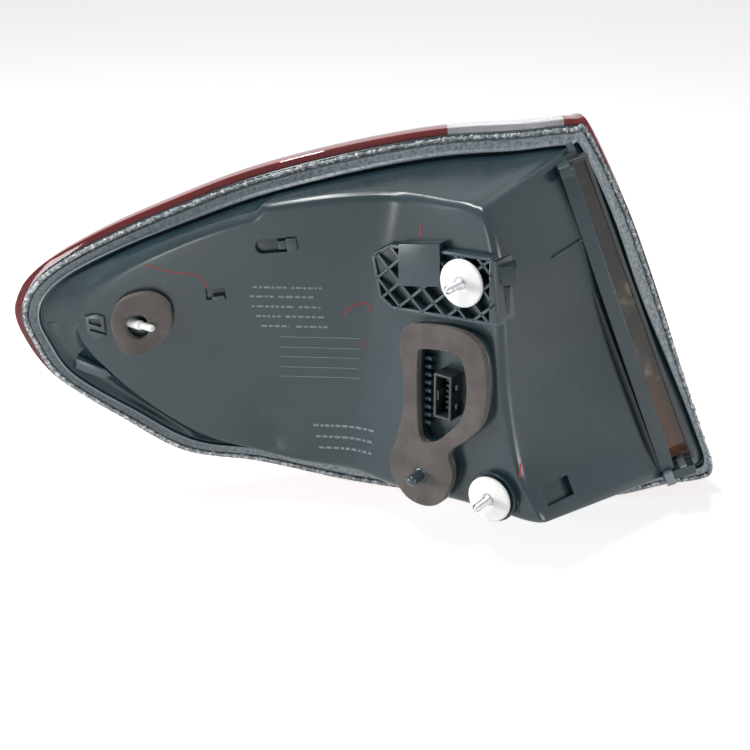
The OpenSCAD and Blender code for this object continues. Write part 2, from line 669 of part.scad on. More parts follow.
// Bezel
bezel_scales = [0.95, 0.86, 0.7, 0.48, 0.25];
bezel_back_scales = [0.25, 0.48, 0.7, 0.86, 0.95];
turn_at = [-38, 20];
reverse_at = [-38, -25];
module bezel() color([0.8, 0.81, 0.83]) difference() {
    crown_back = bezel_crown - bezel_t;
    foot_back = bezel_inset + bezel_t;
    in_chord() ring_solid(
        concat([for (s = bezel_back_scales) dome_ring(crown_back, 2, foot_back, s)],
               [dome_ring(0, weld_gap, foot_back, 1), dome_ring(0, weld_gap, bezel_inset, 1),
                dome_ring(0, 2, bezel_inset, 1)],
               [for (s = bezel_scales) dome_ring(bezel_crown, 2, bezel_inset, s)]),
        [lens_centre.x, joint_b(lens_centre.x) + 2 + crown_back, lens_centre.y],
        [lens_centre.x, joint_b(lens_centre.x) + 2 + bezel_crown, lens_centre.y]);
    y_rod(turn_at.x, turn_at.y, carrier_y + 10, 190, turn_d + 2 * fit_gap);
    y_rod(reverse_at.x, reverse_at.y, carrier_y + 10, 190, reverse_d + 2 * fit_gap);
    chord_prism(brake_b, 190) brake_shape(fit_gap);
    for (p = holder_spots) holder_block(p, fit_gap);
    chord_prism(joint_depth, 190) reflex_shape(fit_gap);
}

// Lamp board with its reflectors
board_x = [-70, 10.5];
board_z = [-46, 42];
face_y = carrier_y + board_t;
module board_outline(grow)
    translate([board_x[0] - grow, board_z[0] - grow])
        square([board_x[1] - board_x[0] + 2 * grow, board_z[1] - board_z[0] + 2 * grow]);
sink_w = 40;
sink_h = 60;
sink_at = [-38, -3];
module sink_outline(grow)
    translate([sink_at.x - sink_w / 2 - grow, sink_at.y - sink_h / 2 - grow])
        square([sink_w + 2 * grow, sink_h + 2 * grow]);
module carrier_frame() color([0.08, 0.08, 0.09]) difference() {
    union() {
        y_prism(carrier_y - carrier_t, carrier_y) board_outline(0);
        for (p = leg_spots) y_rod(p.x, p.y, boss_top, carrier_y - 1, leg_d);
    }
    y_prism(carrier_y - 9, carrier_y + 1) sink_outline(fit_gap);
    for (p = leg_spots) y_rod(p.x, p.y, boss_top - 1, carrier_y + 1, screw_d + 2 * bore_gap);
}
module carrier_screws() color([0.7, 0.7, 0.72])
    for (p = leg_spots) {
        y_rod(p.x, p.y, boss_top - 7, face_y + 0.5, screw_d);
        y_rod(p.x, p.y, face_y, face_y + 2, screw_d * 2);
    }
module lamp_board() color([0.05, 0.3, 0.16]) difference() {
    y_prism(carrier_y, face_y) board_outline(0);
    for (p = leg_spots) y_rod(p.x, p.y, carrier_y - 1, face_y + 1, screw_d + 2 * bore_gap);
}
led_size = 3;
led_t = 1.2;
module led_square(centre, pitch, n)
    for (i = [0:n - 1], j = [0:n - 1])
        translate([centre.x + (i - (n - 1) / 2) * pitch - led_size / 2, face_y,
                   centre.y + (j - (n - 1) / 2) * pitch - led_size / 2])
            cube([led_size, led_t, led_size]);
module turn_leds() color([0.95, 0.7, 0.2]) led_square(turn_at, 4.5, 2);
module reverse_leds() color([0.95, 0.95, 0.8]) led_square(reverse_at, 4.5, 2);
module heat_sink() color([0.75, 0.76, 0.78]) {
    y_prism(carrier_y - 4, carrier_y) sink_outline(0);
    for (k = [0:fin_count - 1])
        translate([sink_at.x - sink_w / 2 + k * (sink_w - 1.6) / (fin_count - 1), carrier_y - 20,
                   sink_at.y - sink_h / 2])
            cube([1.6, 17, sink_h]);
}
module driver_parts() color([0.12, 0.12, 0.13]) {
    for (z = [-34, -18, -2])
        translate([-4, face_y, z]) cube([9, 3, 9]);
    translate([-3, face_y, 14]) cube([12, 6, 12]);
}

// Reflector cup: round wall, parabolic bowl, mouth cut parallel to the joint
bowl_points = 8;
module cup(centre, d) {
    r = d / 2;
    focus = 5.5;
    hole = 8;
    depth = 60;
    difference() {
        translate([centre.x, face_y, centre.y]) rotate([-90, 0, 0]) rotate_extrude()
            polygon(concat(
                [[r - cup_wall, 2 + (pow(r - cup_wall, 2) - hole * hole) / (4 * focus)]],
                [[r - cup_wall, depth], [r, depth], [r, 0], [hole, 0], [hole, 2]],
                [for (k = [1:bowl_points - 1])
                    let (q = hole + (r - cup_wall - hole) * k / bowl_points)
                    [q, 2 + (q * q - hole * hole) / (4 * focus)]]));
        chord_prism(joint_depth + cup_rise, 260) translate([-100, -100]) square([240, 200]);
    }
}
module turn_reflector() color([0.85, 0.86, 0.88]) cup(turn_at, turn_d);
module reverse_reflector() color([0.85, 0.86, 0.88]) cup(reverse_at, reverse_d);

// Light guides: rods along the bezel, each fed by an LED holder set in the bezel
guide_scale = 0.8;
guide_lift = guide_d / 2 * 1.16 + fit_gap;
function guide_centre(i, scale, lift) =
    let (q = joint_line[i % count],
         p = mix(lens_centre, toward(q, core_point(q), bezel_inset), scale))
    [p.x, joint_b(p.x) + 2 + bezel_crown * dome_rise(scale) + lift, p.y];
module guide_rod(first, last)
    in_chord() tube([for (i = [first:last]) guide_centre(i, guide_scale, guide_lift)], guide_d, [0, 1, 0]);
upper_steps = [1, 23];
lower_steps = [53, 76];
module light_guide_upper() color([0.9, 0.9, 0.88]) guide_rod(upper_steps[0], upper_steps[1]);
module light_guide_lower() color([0.9, 0.9, 0.88]) guide_rod(lower_steps[0], lower_steps[1]);
holder_size = 10;
function holder_spot(i, step) =
    let (p = guide_centre(i, guide_scale, 0), q = guide_centre(i + step, guide_scale, 0))
    p - (holder_size / 2 + 4) * (q - p) / norm(q - p);
holder_spots = [holder_spot(upper_steps[1], -1), holder_spot(lower_steps[0], 1)];
module holder_block(p, grow)
    in_chord() translate([p.x - holder_size / 2 - grow, p.y - 10 - grow, p.z - holder_size / 2 - grow])
        cube([holder_size + 2 * grow, 18 + 2 * grow, holder_size + 2 * grow]);
module guide_led_holders() color([0.1, 0.1, 0.11])
    for (p = holder_spots) holder_block(p, 0);

// Brake light on the wing
brake_top = 120;
module brake_shape(grow)
    slot([brake_centre.x - (brake_len - brake_w) / 2, brake_centre.y],
         [brake_centre.x + (brake_len - brake_w) / 2, brake_centre.y], brake_w + 2 * grow);
module brake_board() color([0.05, 0.3, 0.16]) difference() {
    chord_prism(brake_b, brake_b + board_t)
        slot([brake_spots[0].x, brake_centre.y], [brake_spots[1].x, brake_centre.y], brake_w + 4);
    for (p = brake_spots)
        in_chord() translate([p.x, brake_b - 1, p.y]) rotate([-90, 0, 0])
            cylinder(h = board_t + 2, d = screw_d + 2 * bore_gap);
}
module brake_leds() color([0.95, 0.9, 0.8])
    for (k = [0:7])
        in_chord() translate([brake_centre.x + (k - 3.5) * 9 - led_size / 2, brake_b + board_t,
                              brake_centre.y - led_size / 2])
            cube([led_size, led_t, led_size]);
module brake_cover() color([0.75, 0.1, 0.1]) difference() {
    chord_prism(brake_b + board_t, brake_top) brake_shape(0);
    chord_prism(brake_b + board_t - 1, brake_top - 3) brake_shape(-2.2);
}
module brake_screws() color([0.7, 0.7, 0.72])
    for (p = brake_spots)
        in_chord() translate([p.x, brake_b - 7, p.y]) rotate([-90, 0, 0]) {
            cylinder(h = 7 + board_t + 0.5, d = screw_d);
            translate([0, 0, 7 + board_t]) cylinder(h = 2, d = screw_d * 2);
        }

// Reflex reflector: a ribbed block set in the bezel
reflex_centre = [70, -118];
reflex_w = 70;
reflex_h = 22;
module reflex_shape(grow)
    translate([reflex_centre.x - reflex_w / 2 - grow, reflex_centre.y - reflex_h / 2 - grow])
        square([reflex_w + 2 * grow, reflex_h + 2 * grow]);
module reflex_reflector() color([0.7, 0.05, 0.05]) {
    chord_prism(104, 121) reflex_shape(0);
    for (k = [0:8])
        chord_prism(120, 122.5)
            translate([reflex_centre.x - reflex_w / 2 + 3 + k * 7.5, reflex_centre.y - reflex_h / 2 + 3])
                square([4, reflex_h - 6]);
}

// Breather under the housing and the harness inside it
cap_floor = 3;
cap_h = 10;
cap_d = nozzle_d + 5;
module breather_cap() color([0.07, 0.07, 0.08])
    in_chord() translate([nozzle_at.x, nozzle_at.y, nozzle_foot - fit_gap - cap_floor]) difference() {
        cylinder(h = cap_h, d = cap_d);
        translate([0, 0, cap_floor]) cylinder(h = cap_h, d = nozzle_d + 2 * fit_gap);
    }
harness_d = 5;
harness_path = [[-11, contact_end + fit_gap, -74], [-11, 30, -74], [-10.5, 38, -69], [-9.5, 45, -60],
                [-8.5, 50, -49], [-8, 53.5, -42], [-8, 56, -40],
                [-8, carrier_y - carrier_t - fit_gap, -40]];
module inner_harness() color([0.1, 0.1, 0.1]) tube(harness_path, harness_d, [0, 0, 1]);

housing();
lens_red();
lens_clear();
inboard_window();
upper_stud();
upper_washer();
lower_stud();
lower_washer();
side_pin();
side_gasket();
connector_gasket();
connector_header();
connector_contacts();
bezel();
carrier_frame();
carrier_screws();
lamp_board();
turn_leds();
reverse_leds();
heat_sink();
driver_parts();
turn_reflector();
reverse_reflector();
light_guide_upper();
light_guide_lower();
guide_led_holders();
brake_board();
brake_leds();
brake_cover();
brake_screws();
reflex_reflector();
breather_cap();
inner_harness();
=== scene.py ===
import math
import random

import bmesh
import bpy
import numpy as np
from mathutils import Matrix, Vector


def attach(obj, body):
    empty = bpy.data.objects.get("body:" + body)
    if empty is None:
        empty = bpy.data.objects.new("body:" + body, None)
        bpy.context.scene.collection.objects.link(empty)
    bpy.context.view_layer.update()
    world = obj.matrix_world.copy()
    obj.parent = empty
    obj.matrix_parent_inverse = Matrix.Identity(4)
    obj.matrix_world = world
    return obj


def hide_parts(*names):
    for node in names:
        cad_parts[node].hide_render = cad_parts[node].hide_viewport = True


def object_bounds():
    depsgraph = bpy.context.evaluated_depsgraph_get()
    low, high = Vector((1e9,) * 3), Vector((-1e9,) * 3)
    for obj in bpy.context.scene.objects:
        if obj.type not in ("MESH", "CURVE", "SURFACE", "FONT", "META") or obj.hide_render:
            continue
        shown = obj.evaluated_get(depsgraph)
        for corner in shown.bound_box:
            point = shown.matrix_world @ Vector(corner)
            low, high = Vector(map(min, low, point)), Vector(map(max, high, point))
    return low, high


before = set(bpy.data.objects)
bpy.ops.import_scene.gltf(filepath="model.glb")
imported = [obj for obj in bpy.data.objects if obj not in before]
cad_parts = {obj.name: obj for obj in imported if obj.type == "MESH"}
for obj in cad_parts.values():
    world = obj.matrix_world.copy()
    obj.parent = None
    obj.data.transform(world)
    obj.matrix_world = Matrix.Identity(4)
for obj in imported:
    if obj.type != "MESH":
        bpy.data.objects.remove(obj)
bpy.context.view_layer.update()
MM = 0.001
scene = bpy.context.scene
rng = random.Random(7)

# ---------------------------------------------------------------- camera
AZ, EL = math.radians(36), math.radians(23)
cam_data = bpy.data.cameras.new("camera")
cam_data.lens = 67.7
cam_data.sensor_width = 36
cam = bpy.data.objects.new("camera", cam_data)
scene.collection.objects.link(cam)
right = Vector((math.cos(AZ), math.sin(AZ), 0))
look = Vector((-math.sin(AZ) * math.cos(EL), math.cos(AZ) * math.cos(EL), -math.sin(EL)))
up = right.cross(look)
cam.matrix_world = Matrix.Translation(Vector((399.6, -630.8, 261.1)) * MM) @ Matrix((
    (right.x, up.x, -look.x, 0), (right.y, up.y, -look.y, 0), (right.z, up.z, -look.z, 0), (0, 0, 0, 1)))
scene.camera = cam
scene.view_settings.view_transform = "Standard"

# ---------------------------------------------------------------- the form, as the solids have it
CHORD = math.radians(36)
CC, CS = math.cos(CHORD), math.sin(CHORD)
WING_ANGLE = math.radians(33)
WING = math.tan(WING_ANGLE)
CREASE_A, CREASE_Z, CREASE_SLOPE = -66, -50, 0.19
SEAT, CREASE_R, EDGE_R, WALL = 8.5, 3.0, 5.5, 2.5
JOINT, SLOPE = 78.0, 0.06
LIP, FLANGE_W, FLANGE_T, BEAD_W, STEP = 3.5, 10.0, 3.0, 4.5, 1.6
# places (X, Y, Z) of the upper stud, the lower stud, the locating pin and the side pin
UPPER, LOWER, LOCATOR, SIDE_PIN = (0, 0, 0), (23, 0, -129), (-25, 0, -127), (-190, -72, -43)
ALONG_Y = (0, 1, 0)
JOINT_KEYS = [(-265, -34), (-250, -13), (-214, 8), (-167, 28), (-120, 45), (-63, 59), (-9, 68),
              (38, 70.5), (70, 73), (80, 68.5), (106, 17), (127, -34), (144, -78), (166, -135),
              (174, -158), (168, -165), (144, -168), (110, -175), (60, -177), (0, -170),
              (-60, -159), (-120, -143), (-168, -134), (-208, -109), (-244, -84), (-262, -56)]


def crease_at(z):
    return CREASE_A + CREASE_SLOPE * (z - CREASE_Z)


def crease_a(z):
    return crease_at(z) * CC + SEAT * CS


FACET_KEYS = [(-219, -37), (-212, -22), (-194, -6), (-159, 12), (-121, 27), (-76, 38),
              (crease_a(42), 42), (-10, 43), (6, 43), (14, 38), (21, 10),
              (24, -31), (27, -67), (35, -108), (48, -134), (48, -139), (40, -141), (27, -141),
              (0, -142), (-35, -146), (crease_a(-143), -143), (-97, -138),
              (-148, -120), (-185, -95), (-210, -70), (-222, -52)]
CENTRE = np.array([crease_a(-50), -50.0])
LENS_CENTRE = np.array([-30.0, -45.0])
# the hollow low on the wing: its middle (a, z), its reach each way and its depth
HOLLOW_A, HOLLOW_Z, HOLLOW_WIDE, HOLLOW_HIGH, HOLLOW_DEEP = -112, -118, 14, 16, 6


def closed_curve(keys, steps):
    k = np.array(keys, float)
    a, b, c, d = np.roll(k, 1, 0), k, np.roll(k, -1, 0), np.roll(k, -2, 0)
    out = []
    for i in range(len(k)):
        for j in range(steps):
            t = j / steps
            out.append(0.5 * (2 * b[i] + (c[i] - a[i]) * t + (2 * a[i] - 5 * b[i] + 4 * c[i] - d[i]) * t * t
                              + (3 * b[i] - a[i] - 3 * c[i] + d[i]) * t ** 3))
    return np.array(out)


def facet_b(a, z):
    seat = (SEAT - a * CS) / CC
    wing = (SEAT - WING * crease_at(z) - a * (CS - WING * CC)) / (CC + WING * CS)
    soft = (seat + wing - np.sqrt((seat - wing) ** 2 + 4 * CREASE_R ** 2)) / 2
    away = ((a - HOLLOW_A) / HOLLOW_WIDE) ** 2 + ((z - HOLLOW_Z) / HOLLOW_HIGH) ** 2
    return soft + HOLLOW_DEEP * np.exp(-away)


def joint_b(a):
    return JOINT + SLOPE * a


STEPS = 12
JL = closed_curve(JOINT_KEYS, STEPS)
FL = closed_curve(FACET_KEYS, STEPS)
N = len(JL)
# the step in the facet's upper edge: up past NOTCH_A, a little down before it, fading out both ways
NOTCH_A, NOTCH_UP, NOTCH_DOWN = -119, 3.6, 1.2
upper_edge = FL[:, 1] > 15
past = np.clip((FL[:, 0] - NOTCH_A) / 5, 0, 1)
FL[:, 1] += upper_edge * (past * NOTCH_UP * np.exp(-np.abs(FL[:, 0] + 113) / 32) * (FL[:, 0] < -40)
                          - (1 - past) * NOTCH_DOWN * np.exp(-np.abs(FL[:, 0] - NOTCH_A) / 18))


def core_of(loop):
    """The level line inside the lamp that the joint's outline is inset toward."""
    return np.stack([0.55 * loop[:, 0] - 7, np.full(len(loop), -48.0)], 1)


CORE = core_of(JL)


def toward(p, q, d):
    v = q - p
    n = np.linalg.norm(v, axis=1, keepdims=True)
    return p + v / n * np.asarray(d).reshape(-1, 1) if np.ndim(d) else p + v / n * d


def joint_ring(inset, drop):
    p = toward(JL, CORE, inset)
    return np.stack([p[:, 0], joint_b(p[:, 0]) - drop, p[:, 1]], 1)


def facet_ring(scale, inset, lift):
    p = CENTRE + (toward(FL, CENTRE[None, :].repeat(N, 0), inset) - CENTRE) * scale
    return np.stack([p[:, 0], facet_b(p[:, 0], p[:, 1]) + lift, p[:, 1]], 1)


def near_ring(r, s, d):
    n = np.linalg.norm(s - r, axis=1)
    return toward(r, s, np.minimum(d, 0.4 * n))


def dome_ring(crown, base, inset, scale):
    p = LENS_CENTRE + (toward(JL, CORE, inset) - LENS_CENTRE) * scale
    rise = math.sqrt(max(0, 1 - scale ** 2.5))
    return np.stack([p[:, 0], joint_b(p[:, 0]) + base + crown * rise, p[:, 1]], 1)


def to_row(p):
    """Chord frame (a, b, z) in mm to the row frame in metres."""
    p = np.asarray(p, float).reshape(-1, 3)
    return np.stack([p[:, 0] * CC - p[:, 1] * CS, p[:, 0] * CS + p[:, 1] * CC, p[:, 2]], 1) * MM


# ---------------------------------------------------------------- mesh helpers
def smooth(mesh, deg=32):
    bm = bmesh.new()
    bm.from_mesh(mesh)
    lim = math.radians(deg)
    for e in bm.edges:
        e.smooth = len(e.link_faces) == 2 and e.calc_face_angle(0) < lim
    for f in bm.faces:
        f.smooth = True
    bm.to_mesh(mesh)
    bm.free()


def add(name, verts, faces, mat=None, deg=32):
    mesh = bpy.data.meshes.new(name)
    mesh.from_pydata([tuple(v) for v in verts], [], [tuple(f) for f in faces])
    mesh.validate()
    bm = bmesh.new()
    bm.from_mesh(mesh)
    bmesh.ops.recalc_face_normals(bm, faces=bm.faces)
    bm.to_mesh(mesh)
    bm.free()
    if deg:
        smooth(mesh, deg)
    o = bpy.data.objects.new(name, mesh)
    scene.collection.objects.link(o)
    if mat:
        mesh.materials.append(mat)
    return o


def ring_mesh(name, rings, first, last, mat=None, deg=32):
    pts = np.concatenate([[first], *rings, [last]])
    n, rows = len(rings[0]), len(rings)
    faces = []
    for i in range(n):
        j = (i + 1) % n
        faces.append((0, 1 + i, 1 + j))
        for k in range(rows - 1):
            faces.append((1 + k * n + i, 1 + (k + 1) * n + i, 1 + (k + 1) * n + j, 1 + k * n + j))
        faces.append((len(pts) - 1, 1 + (rows - 1) * n + j, 1 + (rows - 1) * n + i))
    return add(name, to_row(pts), faces, mat, deg)


def boolean(o, tools, op="DIFFERENCE"):
    """Cuts the tools out of o, or keeps what o shares with them, and removes the tools."""
    for t in tools:
        m = o.modifiers.new("b", "BOOLEAN")
        m.operation, m.solver, m.object = op, "EXACT", t
    dep = bpy.context.evaluated_depsgraph_get()
    mesh = bpy.data.meshes.new_from_object(o.evaluated_get(dep))
    old = o.data
    o.modifiers.clear()
    o.data = mesh
    bpy.data.meshes.remove(old)
    for t in tools:
        bpy.data.objects.remove(t)


def join(name, objs):
    bm = bmesh.new()
    mats = []
    for o in objs:
        base = {}
        for i, m in enumerate(o.data.materials):
            if m not in mats:
                mats.append(m)
            base[i] = mats.index(m)
        start = len(bm.faces)
        bm.from_mesh(o.data)
        bm.faces.ensure_lookup_table()
        for f in bm.faces[start:]:
            f.material_index = base.get(f.material_index, 0)
    mesh = bpy.data.meshes.new(name)
    bm.to_mesh(mesh)
    bm.free()
    for m in mats:
        mesh.materials.append(m)
    for o in objs:
        bpy.data.objects.remove(o)
    out = bpy.data.objects.new(name, mesh)
    scene.collection.objects.link(out)
    return out


def frame_matrix(origin, x, y):
    x, y = Vector(x).normalized(), Vector(y).normalized()
    z = x.cross(y)
    m = Matrix.Identity(4)
    for i in range(3):
        m[i][0], m[i][1], m[i][2], m[i][3] = x[i], y[i], z[i], origin[i]
    return m


ROW_XZ = frame_matrix((0, 0, 0), (1, 0, 0), (0, 0, 1))          # local z = -Y
CHORD_XZ = frame_matrix((0, 0, 0), (CC, CS, 0), (0, 0, 1))      # local z = -b


def plate(name, loops, d0, d1, mat, bevel=0.3, m=ROW_XZ, deg=40, res=2):
    """A plate from depth d0 to d1 (mm, towards +Y or +b), with rounded rims.

    The first of the loops is its outline, the others are holes.
    """
    cu = bpy.data.curves.new(name, "CURVE")
    cu.dimensions, cu.fill_mode = "2D", "BOTH"
    r = min(bevel, (d1 - d0) / 2 * 0.98)
    cu.extrude = ((d1 - d0) / 2 - r) * MM
    cu.bevel_depth, cu.bevel_resolution, cu.offset = r * MM, res, -r * MM
    for lp in loops:
        s = cu.splines.new("POLY")
        s.points.add(len(lp) - 1)
        for p, q in zip(s.points, lp):
            p.co = (q[0] * MM, q[1] * MM, 0, 1)
        s.use_cyclic_u = True
    o = bpy.data.objects.new(name, cu)
    scene.collection.objects.link(o)
    dep = bpy.context.evaluated_depsgraph_get()
    mesh = bpy.data.meshes.new_from_object(o.evaluated_get(dep))
    bpy.data.objects.remove(o)
    mesh.transform(Matrix.Translation(Vector((0, 0, -(d0 + d1) / 2 * MM))))
    mesh.transform(m)
    bm = bmesh.new()
    bm.from_mesh(mesh)
    bmesh.ops.remove_doubles(bm, verts=bm.verts, dist=1e-6)
    bmesh.ops.recalc_face_normals(bm, faces=bm.faces)
    bm.to_mesh(mesh)
    bm.free()
    mesh.materials.clear()
    mesh.materials.append(mat)
    smooth(mesh, deg)
    out = bpy.data.objects.new(name, mesh)
    scene.collection.objects.link(out)
    return out


def box_loop(x0, z0, x1, z1):
    return [(x0, z0), (x1, z0), (x1, z1), (x0, z1)]


def bar_loop(p, q, w):
    p, q = np.array(p, float), np.array(q, float)
    t = (q - p) / np.linalg.norm(q - p)
    n = np.array([-t[1], t[0]]) * w / 2
    return [p - n, q - n, q + n, p + n]


def slot_loop(p, q, w, k):
    """The outline of a slot w wide from p to q, its round ends in k steps."""
    p, q = np.array(p, float), np.array(q, float)
    a0 = math.atan2(*(q - p)[::-1])
    out = []
    for end, quarter in ((q, -math.pi / 2), (p, math.pi / 2)):
        for i in range(k + 1):
            t = a0 + quarter + math.pi * i / k
            out.append(end + w / 2 * np.array([math.cos(t), math.sin(t)]))
    return out


def circle_loop(x, z, r, k=48):
    turns = [2 * math.pi * i / k for i in range(k)]
    return [(x + r * math.cos(t), z + r * math.sin(t)) for t in turns]


def prism(loop, d0, d1, m=ROW_XZ):
    """A plain closed prism, for cutting."""
    n = len(loop)
    v = [m @ (Vector((p[0], p[1], -d)) * MM) for d in (d0, d1) for p in loop]
    f = [tuple(range(n)), tuple(range(2 * n - 1, n - 1, -1))]
    f += [(i, (i + 1) % n, n + (i + 1) % n, n + i) for i in range(n)]
    return add("cutter", v, f, None, 0)


def fin(name, p, q, n, w, h, mat):
    """A low rib from p to q (chord frame, mm), standing h proud along n, w thick, rooted 1.5 mm below."""
    p, q, n = Vector(p), Vector(q), Vector(n).normalized()
    side = (q - p).cross(n).normalized() * w / 2
    v = []
    for c in (p, q):
        v += [c - side - n * 1.5, c + side - n * 1.5, c + side * 0.7 + n * h, c - side * 0.7 + n * h]
    f = [(0, 1, 2, 3), (7, 6, 5, 4), (0, 4, 5, 1), (1, 5, 6, 2), (2, 6, 7, 3), (3, 7, 4, 0)]
    return add(name, to_row([tuple(x) for x in v]), f, mat, 25)


def tube(path, sides, radius, wide, high):
    """Points and faces of a tube round a closed path (chord frame); radius(i) is asked once per point."""
    n = len(path)
    verts = []
    for i in range(n):
        t = path[(i + 1) % n] - path[i - 1]
        side = np.cross(t / np.linalg.norm(t), (0, 1, 0))
        side /= np.linalg.norm(side)
        for k in range(sides):
            w = 2 * math.pi * k / sides
            r = radius(i)
            verts.append(path[i] + side * math.cos(w) * r * wide + np.array([0, math.sin(w) * r * high, 0]))
    faces = [(i * sides + k, (i + 1) % n * sides + k, (i + 1) % n * sides + (k + 1) % sides,
              i * sides + (k + 1) % sides) for i in range(n) for k in range(sides)]
    return to_row(verts), faces


def turned(name, profile, origin, axis, mat, seg=64, deg=35):
    """A turned piece: profile of (radius, distance along axis) in mm from end to end on the axis."""
    axis = Vector(axis).normalized()
    x = axis.orthogonal().normalized()
    y = axis.cross(x)
    o = Vector(origin)
    v, f, rows = [], [], []
    for r, h in profile:
        if r < 1e-6:
            rows.append([len(v)])
            v.append((o + axis * h) * MM)
        else:
            rows.append(list(range(len(v), len(v) + seg)))
            for i in range(seg):
                t = 2 * math.pi * i / seg
                v.append((o + axis * h + (x * math.cos(t) + y * math.sin(t)) * r) * MM)
    for a, b in zip(rows, rows[1:]):
        for i in range(seg):
            j = (i + 1) % seg
            if len(a) == 1 and len(b) > 1:
                f.append((a[0], b[i], b[j]))
            elif len(b) == 1 and len(a) > 1:
                f.append((a[i], b[0], a[j]))
            elif len(a) > 1:
                f.append((a[i], b[i], b[j], a[j]))
    return add(name, v, f, mat, deg)


# ---------------------------------------------------------------- materials
def material(name, build):
    m = bpy.data.materials.new(name)
    m.use_nodes = True
    nt = m.node_tree
    build(nt, nt.nodes["Principled BSDF"])
    return m


def node(nt, kind, **kw):
    n = nt.nodes.new(kind)
    for k, v in kw.items():
        setattr(n, k, v)
    return n


def coords(nt):
    return node(nt, "ShaderNodeTexCoord").outputs["Object"]


def noise(nt, vec, scale, detail=4.0, rough=0.5):
    n = node(nt, "ShaderNodeTexNoise")
    n.inputs["Scale"].default_value = scale
    n.inputs["Detail"].default_value = detail
    n.inputs["Roughness"].default_value = rough
    nt.links.new(vec, n.inputs["Vector"])
    return n.outputs["Fac"]


def ramp(nt, fac, stops):
    r = node(nt, "ShaderNodeValToRGB")
    el = r.color_ramp.elements
    el[0].position, el[0].color = stops[0][0], stops[0][1]
    el[1].position, el[1].color = stops[-1][0], stops[-1][1]
    for p, c in stops[1:-1]:
        e = el.new(p)
        e.color = c
    nt.links.new(fac, r.inputs["Fac"])
    return r.outputs["Color"]


def bump(nt, bsdf, height, strength=0.3, dist=0.0002, normal=None):
    b = node(nt, "ShaderNodeBump")
    b.inputs["Strength"].default_value = strength
    b.inputs["Distance"].default_value = dist
    nt.links.new(height, b.inputs["Height"])
    if normal:
        nt.links.new(normal, b.inputs["Normal"])
    if bsdf:
        nt.links.new(b.outputs["Normal"], bsdf.inputs["Normal"])
    return b.outputs["Normal"]


def lin(r, g, b):
    """A colour given as on a screen, 0 to 255, as linear RGBA."""
    return tuple((c / 255) / 12.92 if c / 255 <= 0.04045 else ((c / 255 + 0.055) / 1.055) ** 2.4
                 for c in (r, g, b)) + (1.0,)


def grey(x):
    return (x, x, x, 1)


def blend_along(nt, v, axis, start, end, first, second):
    """The first colour up to start on an axis of the row frame (m), the second past end."""
    sep = node(nt, "ShaderNodeSeparateXYZ")
    nt.links.new(v, sep.inputs[0])
    along = node(nt, "ShaderNodeMapRange")
    along.inputs["From Min"].default_value = start
    along.inputs["From Max"].default_value = end
    nt.links.new(sep.outputs[axis], along.inputs["Value"])
    mix = node(nt, "ShaderNodeMix", data_type="RGBA")
    nt.links.new(along.outputs[0], mix.inputs["Factor"])
    nt.links.new(first, mix.inputs["A"])
    nt.links.new(second, mix.inputs["B"])
    return mix.outputs["Result"]


def moulded(light, dark, rough=(0.3, 0.42), grain=900, grain_strength=0.12):
    """Moulded plastic: broad tone drift, fine grain, slow waves of the surface."""
    def build(nt, b):
        v = coords(nt)
        tone = noise(nt, v, 9, 3, 0.55)
        c = ramp(nt, tone, [(0.3, dark), (0.7, light)])
        nt.links.new(c, b.inputs["Base Color"])
        r = ramp(nt, noise(nt, v, 40, 5, 0.6), [(0.3, grey(rough[0])), (0.7, grey(rough[1]))])
        nt.links.new(r, b.inputs["Roughness"])
        slow = bump(nt, None, noise(nt, v, 14, 2, 0.5), 0.35, 0.0012)
        bump(nt, b, noise(nt, v, grain, 3, 0.6), grain_strength, 0.00015, slow)
    return build


M_HOUSE = material("housing_moulded", moulded(lin(40, 59, 66), lin(28, 45, 51), (0.2, 0.3)))
# painted light: a lighter copy of the housing plastic for the raised ribs, lugs and seats
M_RIB_LIT = material("housing_rib_painted_light", moulded(lin(58, 76, 83), lin(44, 60, 67), (0.2, 0.3)))
# painted highlight: a pale copy of the housing plastic for raised lettering, rules and rail lugs where they
# catch the light
M_MARK_LIT = material("moulded_mark_painted_light", moulded(lin(132, 144, 150), lin(98, 111, 117), (0.2, 0.3)))
# painted highlight: a pale, glossier copy of the housing plastic for the bright line along the flange's
# raised step
M_STEP_HIGHLIGHT = material("step_painted_highlight", moulded(lin(150, 160, 166), lin(92, 104, 112), (0.12, 0.24)))


def build_flange(nt, b):
    """The same plastic with a fine tooled grain, its colour painted lighter towards the inboard end as
    painted light on that part of the flange.
    """
    v = coords(nt)
    grain = noise(nt, v, 500, 4, 0.6)
    flange_plain_tone = ramp(nt, grain, [(0.35, lin(52, 66, 73)), (0.6, lin(78, 92, 99))])
    flange_painted_lit = ramp(nt, grain, [(0.35, lin(104, 118, 126)), (0.6, lin(158, 168, 175))])
    nt.links.new(blend_along(nt, v, "X", -0.19, -0.09, flange_plain_tone, flange_painted_lit), b.inputs["Base Color"])
    b.inputs["Roughness"].default_value = 0.2
    bump(nt, b, noise(nt, v, 1100, 3, 0.6), 0.6, 0.0004)


M_FLANGE = material("flange_skin", build_flange)
# painted shadow: near-black plastic for the strip that stands in for the shade in the gap beside the rail
M_RAIL_SHADOW = material("rail_gap_painted_shadow", moulded(lin(20, 24, 26), lin(12, 15, 17), (0.5, 0.7)))
# painted light: a lighter copy of the housing plastic for the rail, whose face turns to the light
M_RAIL_LIT = material("rail_moulded_painted_light", moulded(lin(52, 68, 74), lin(40, 55, 61), (0.24, 0.36)))


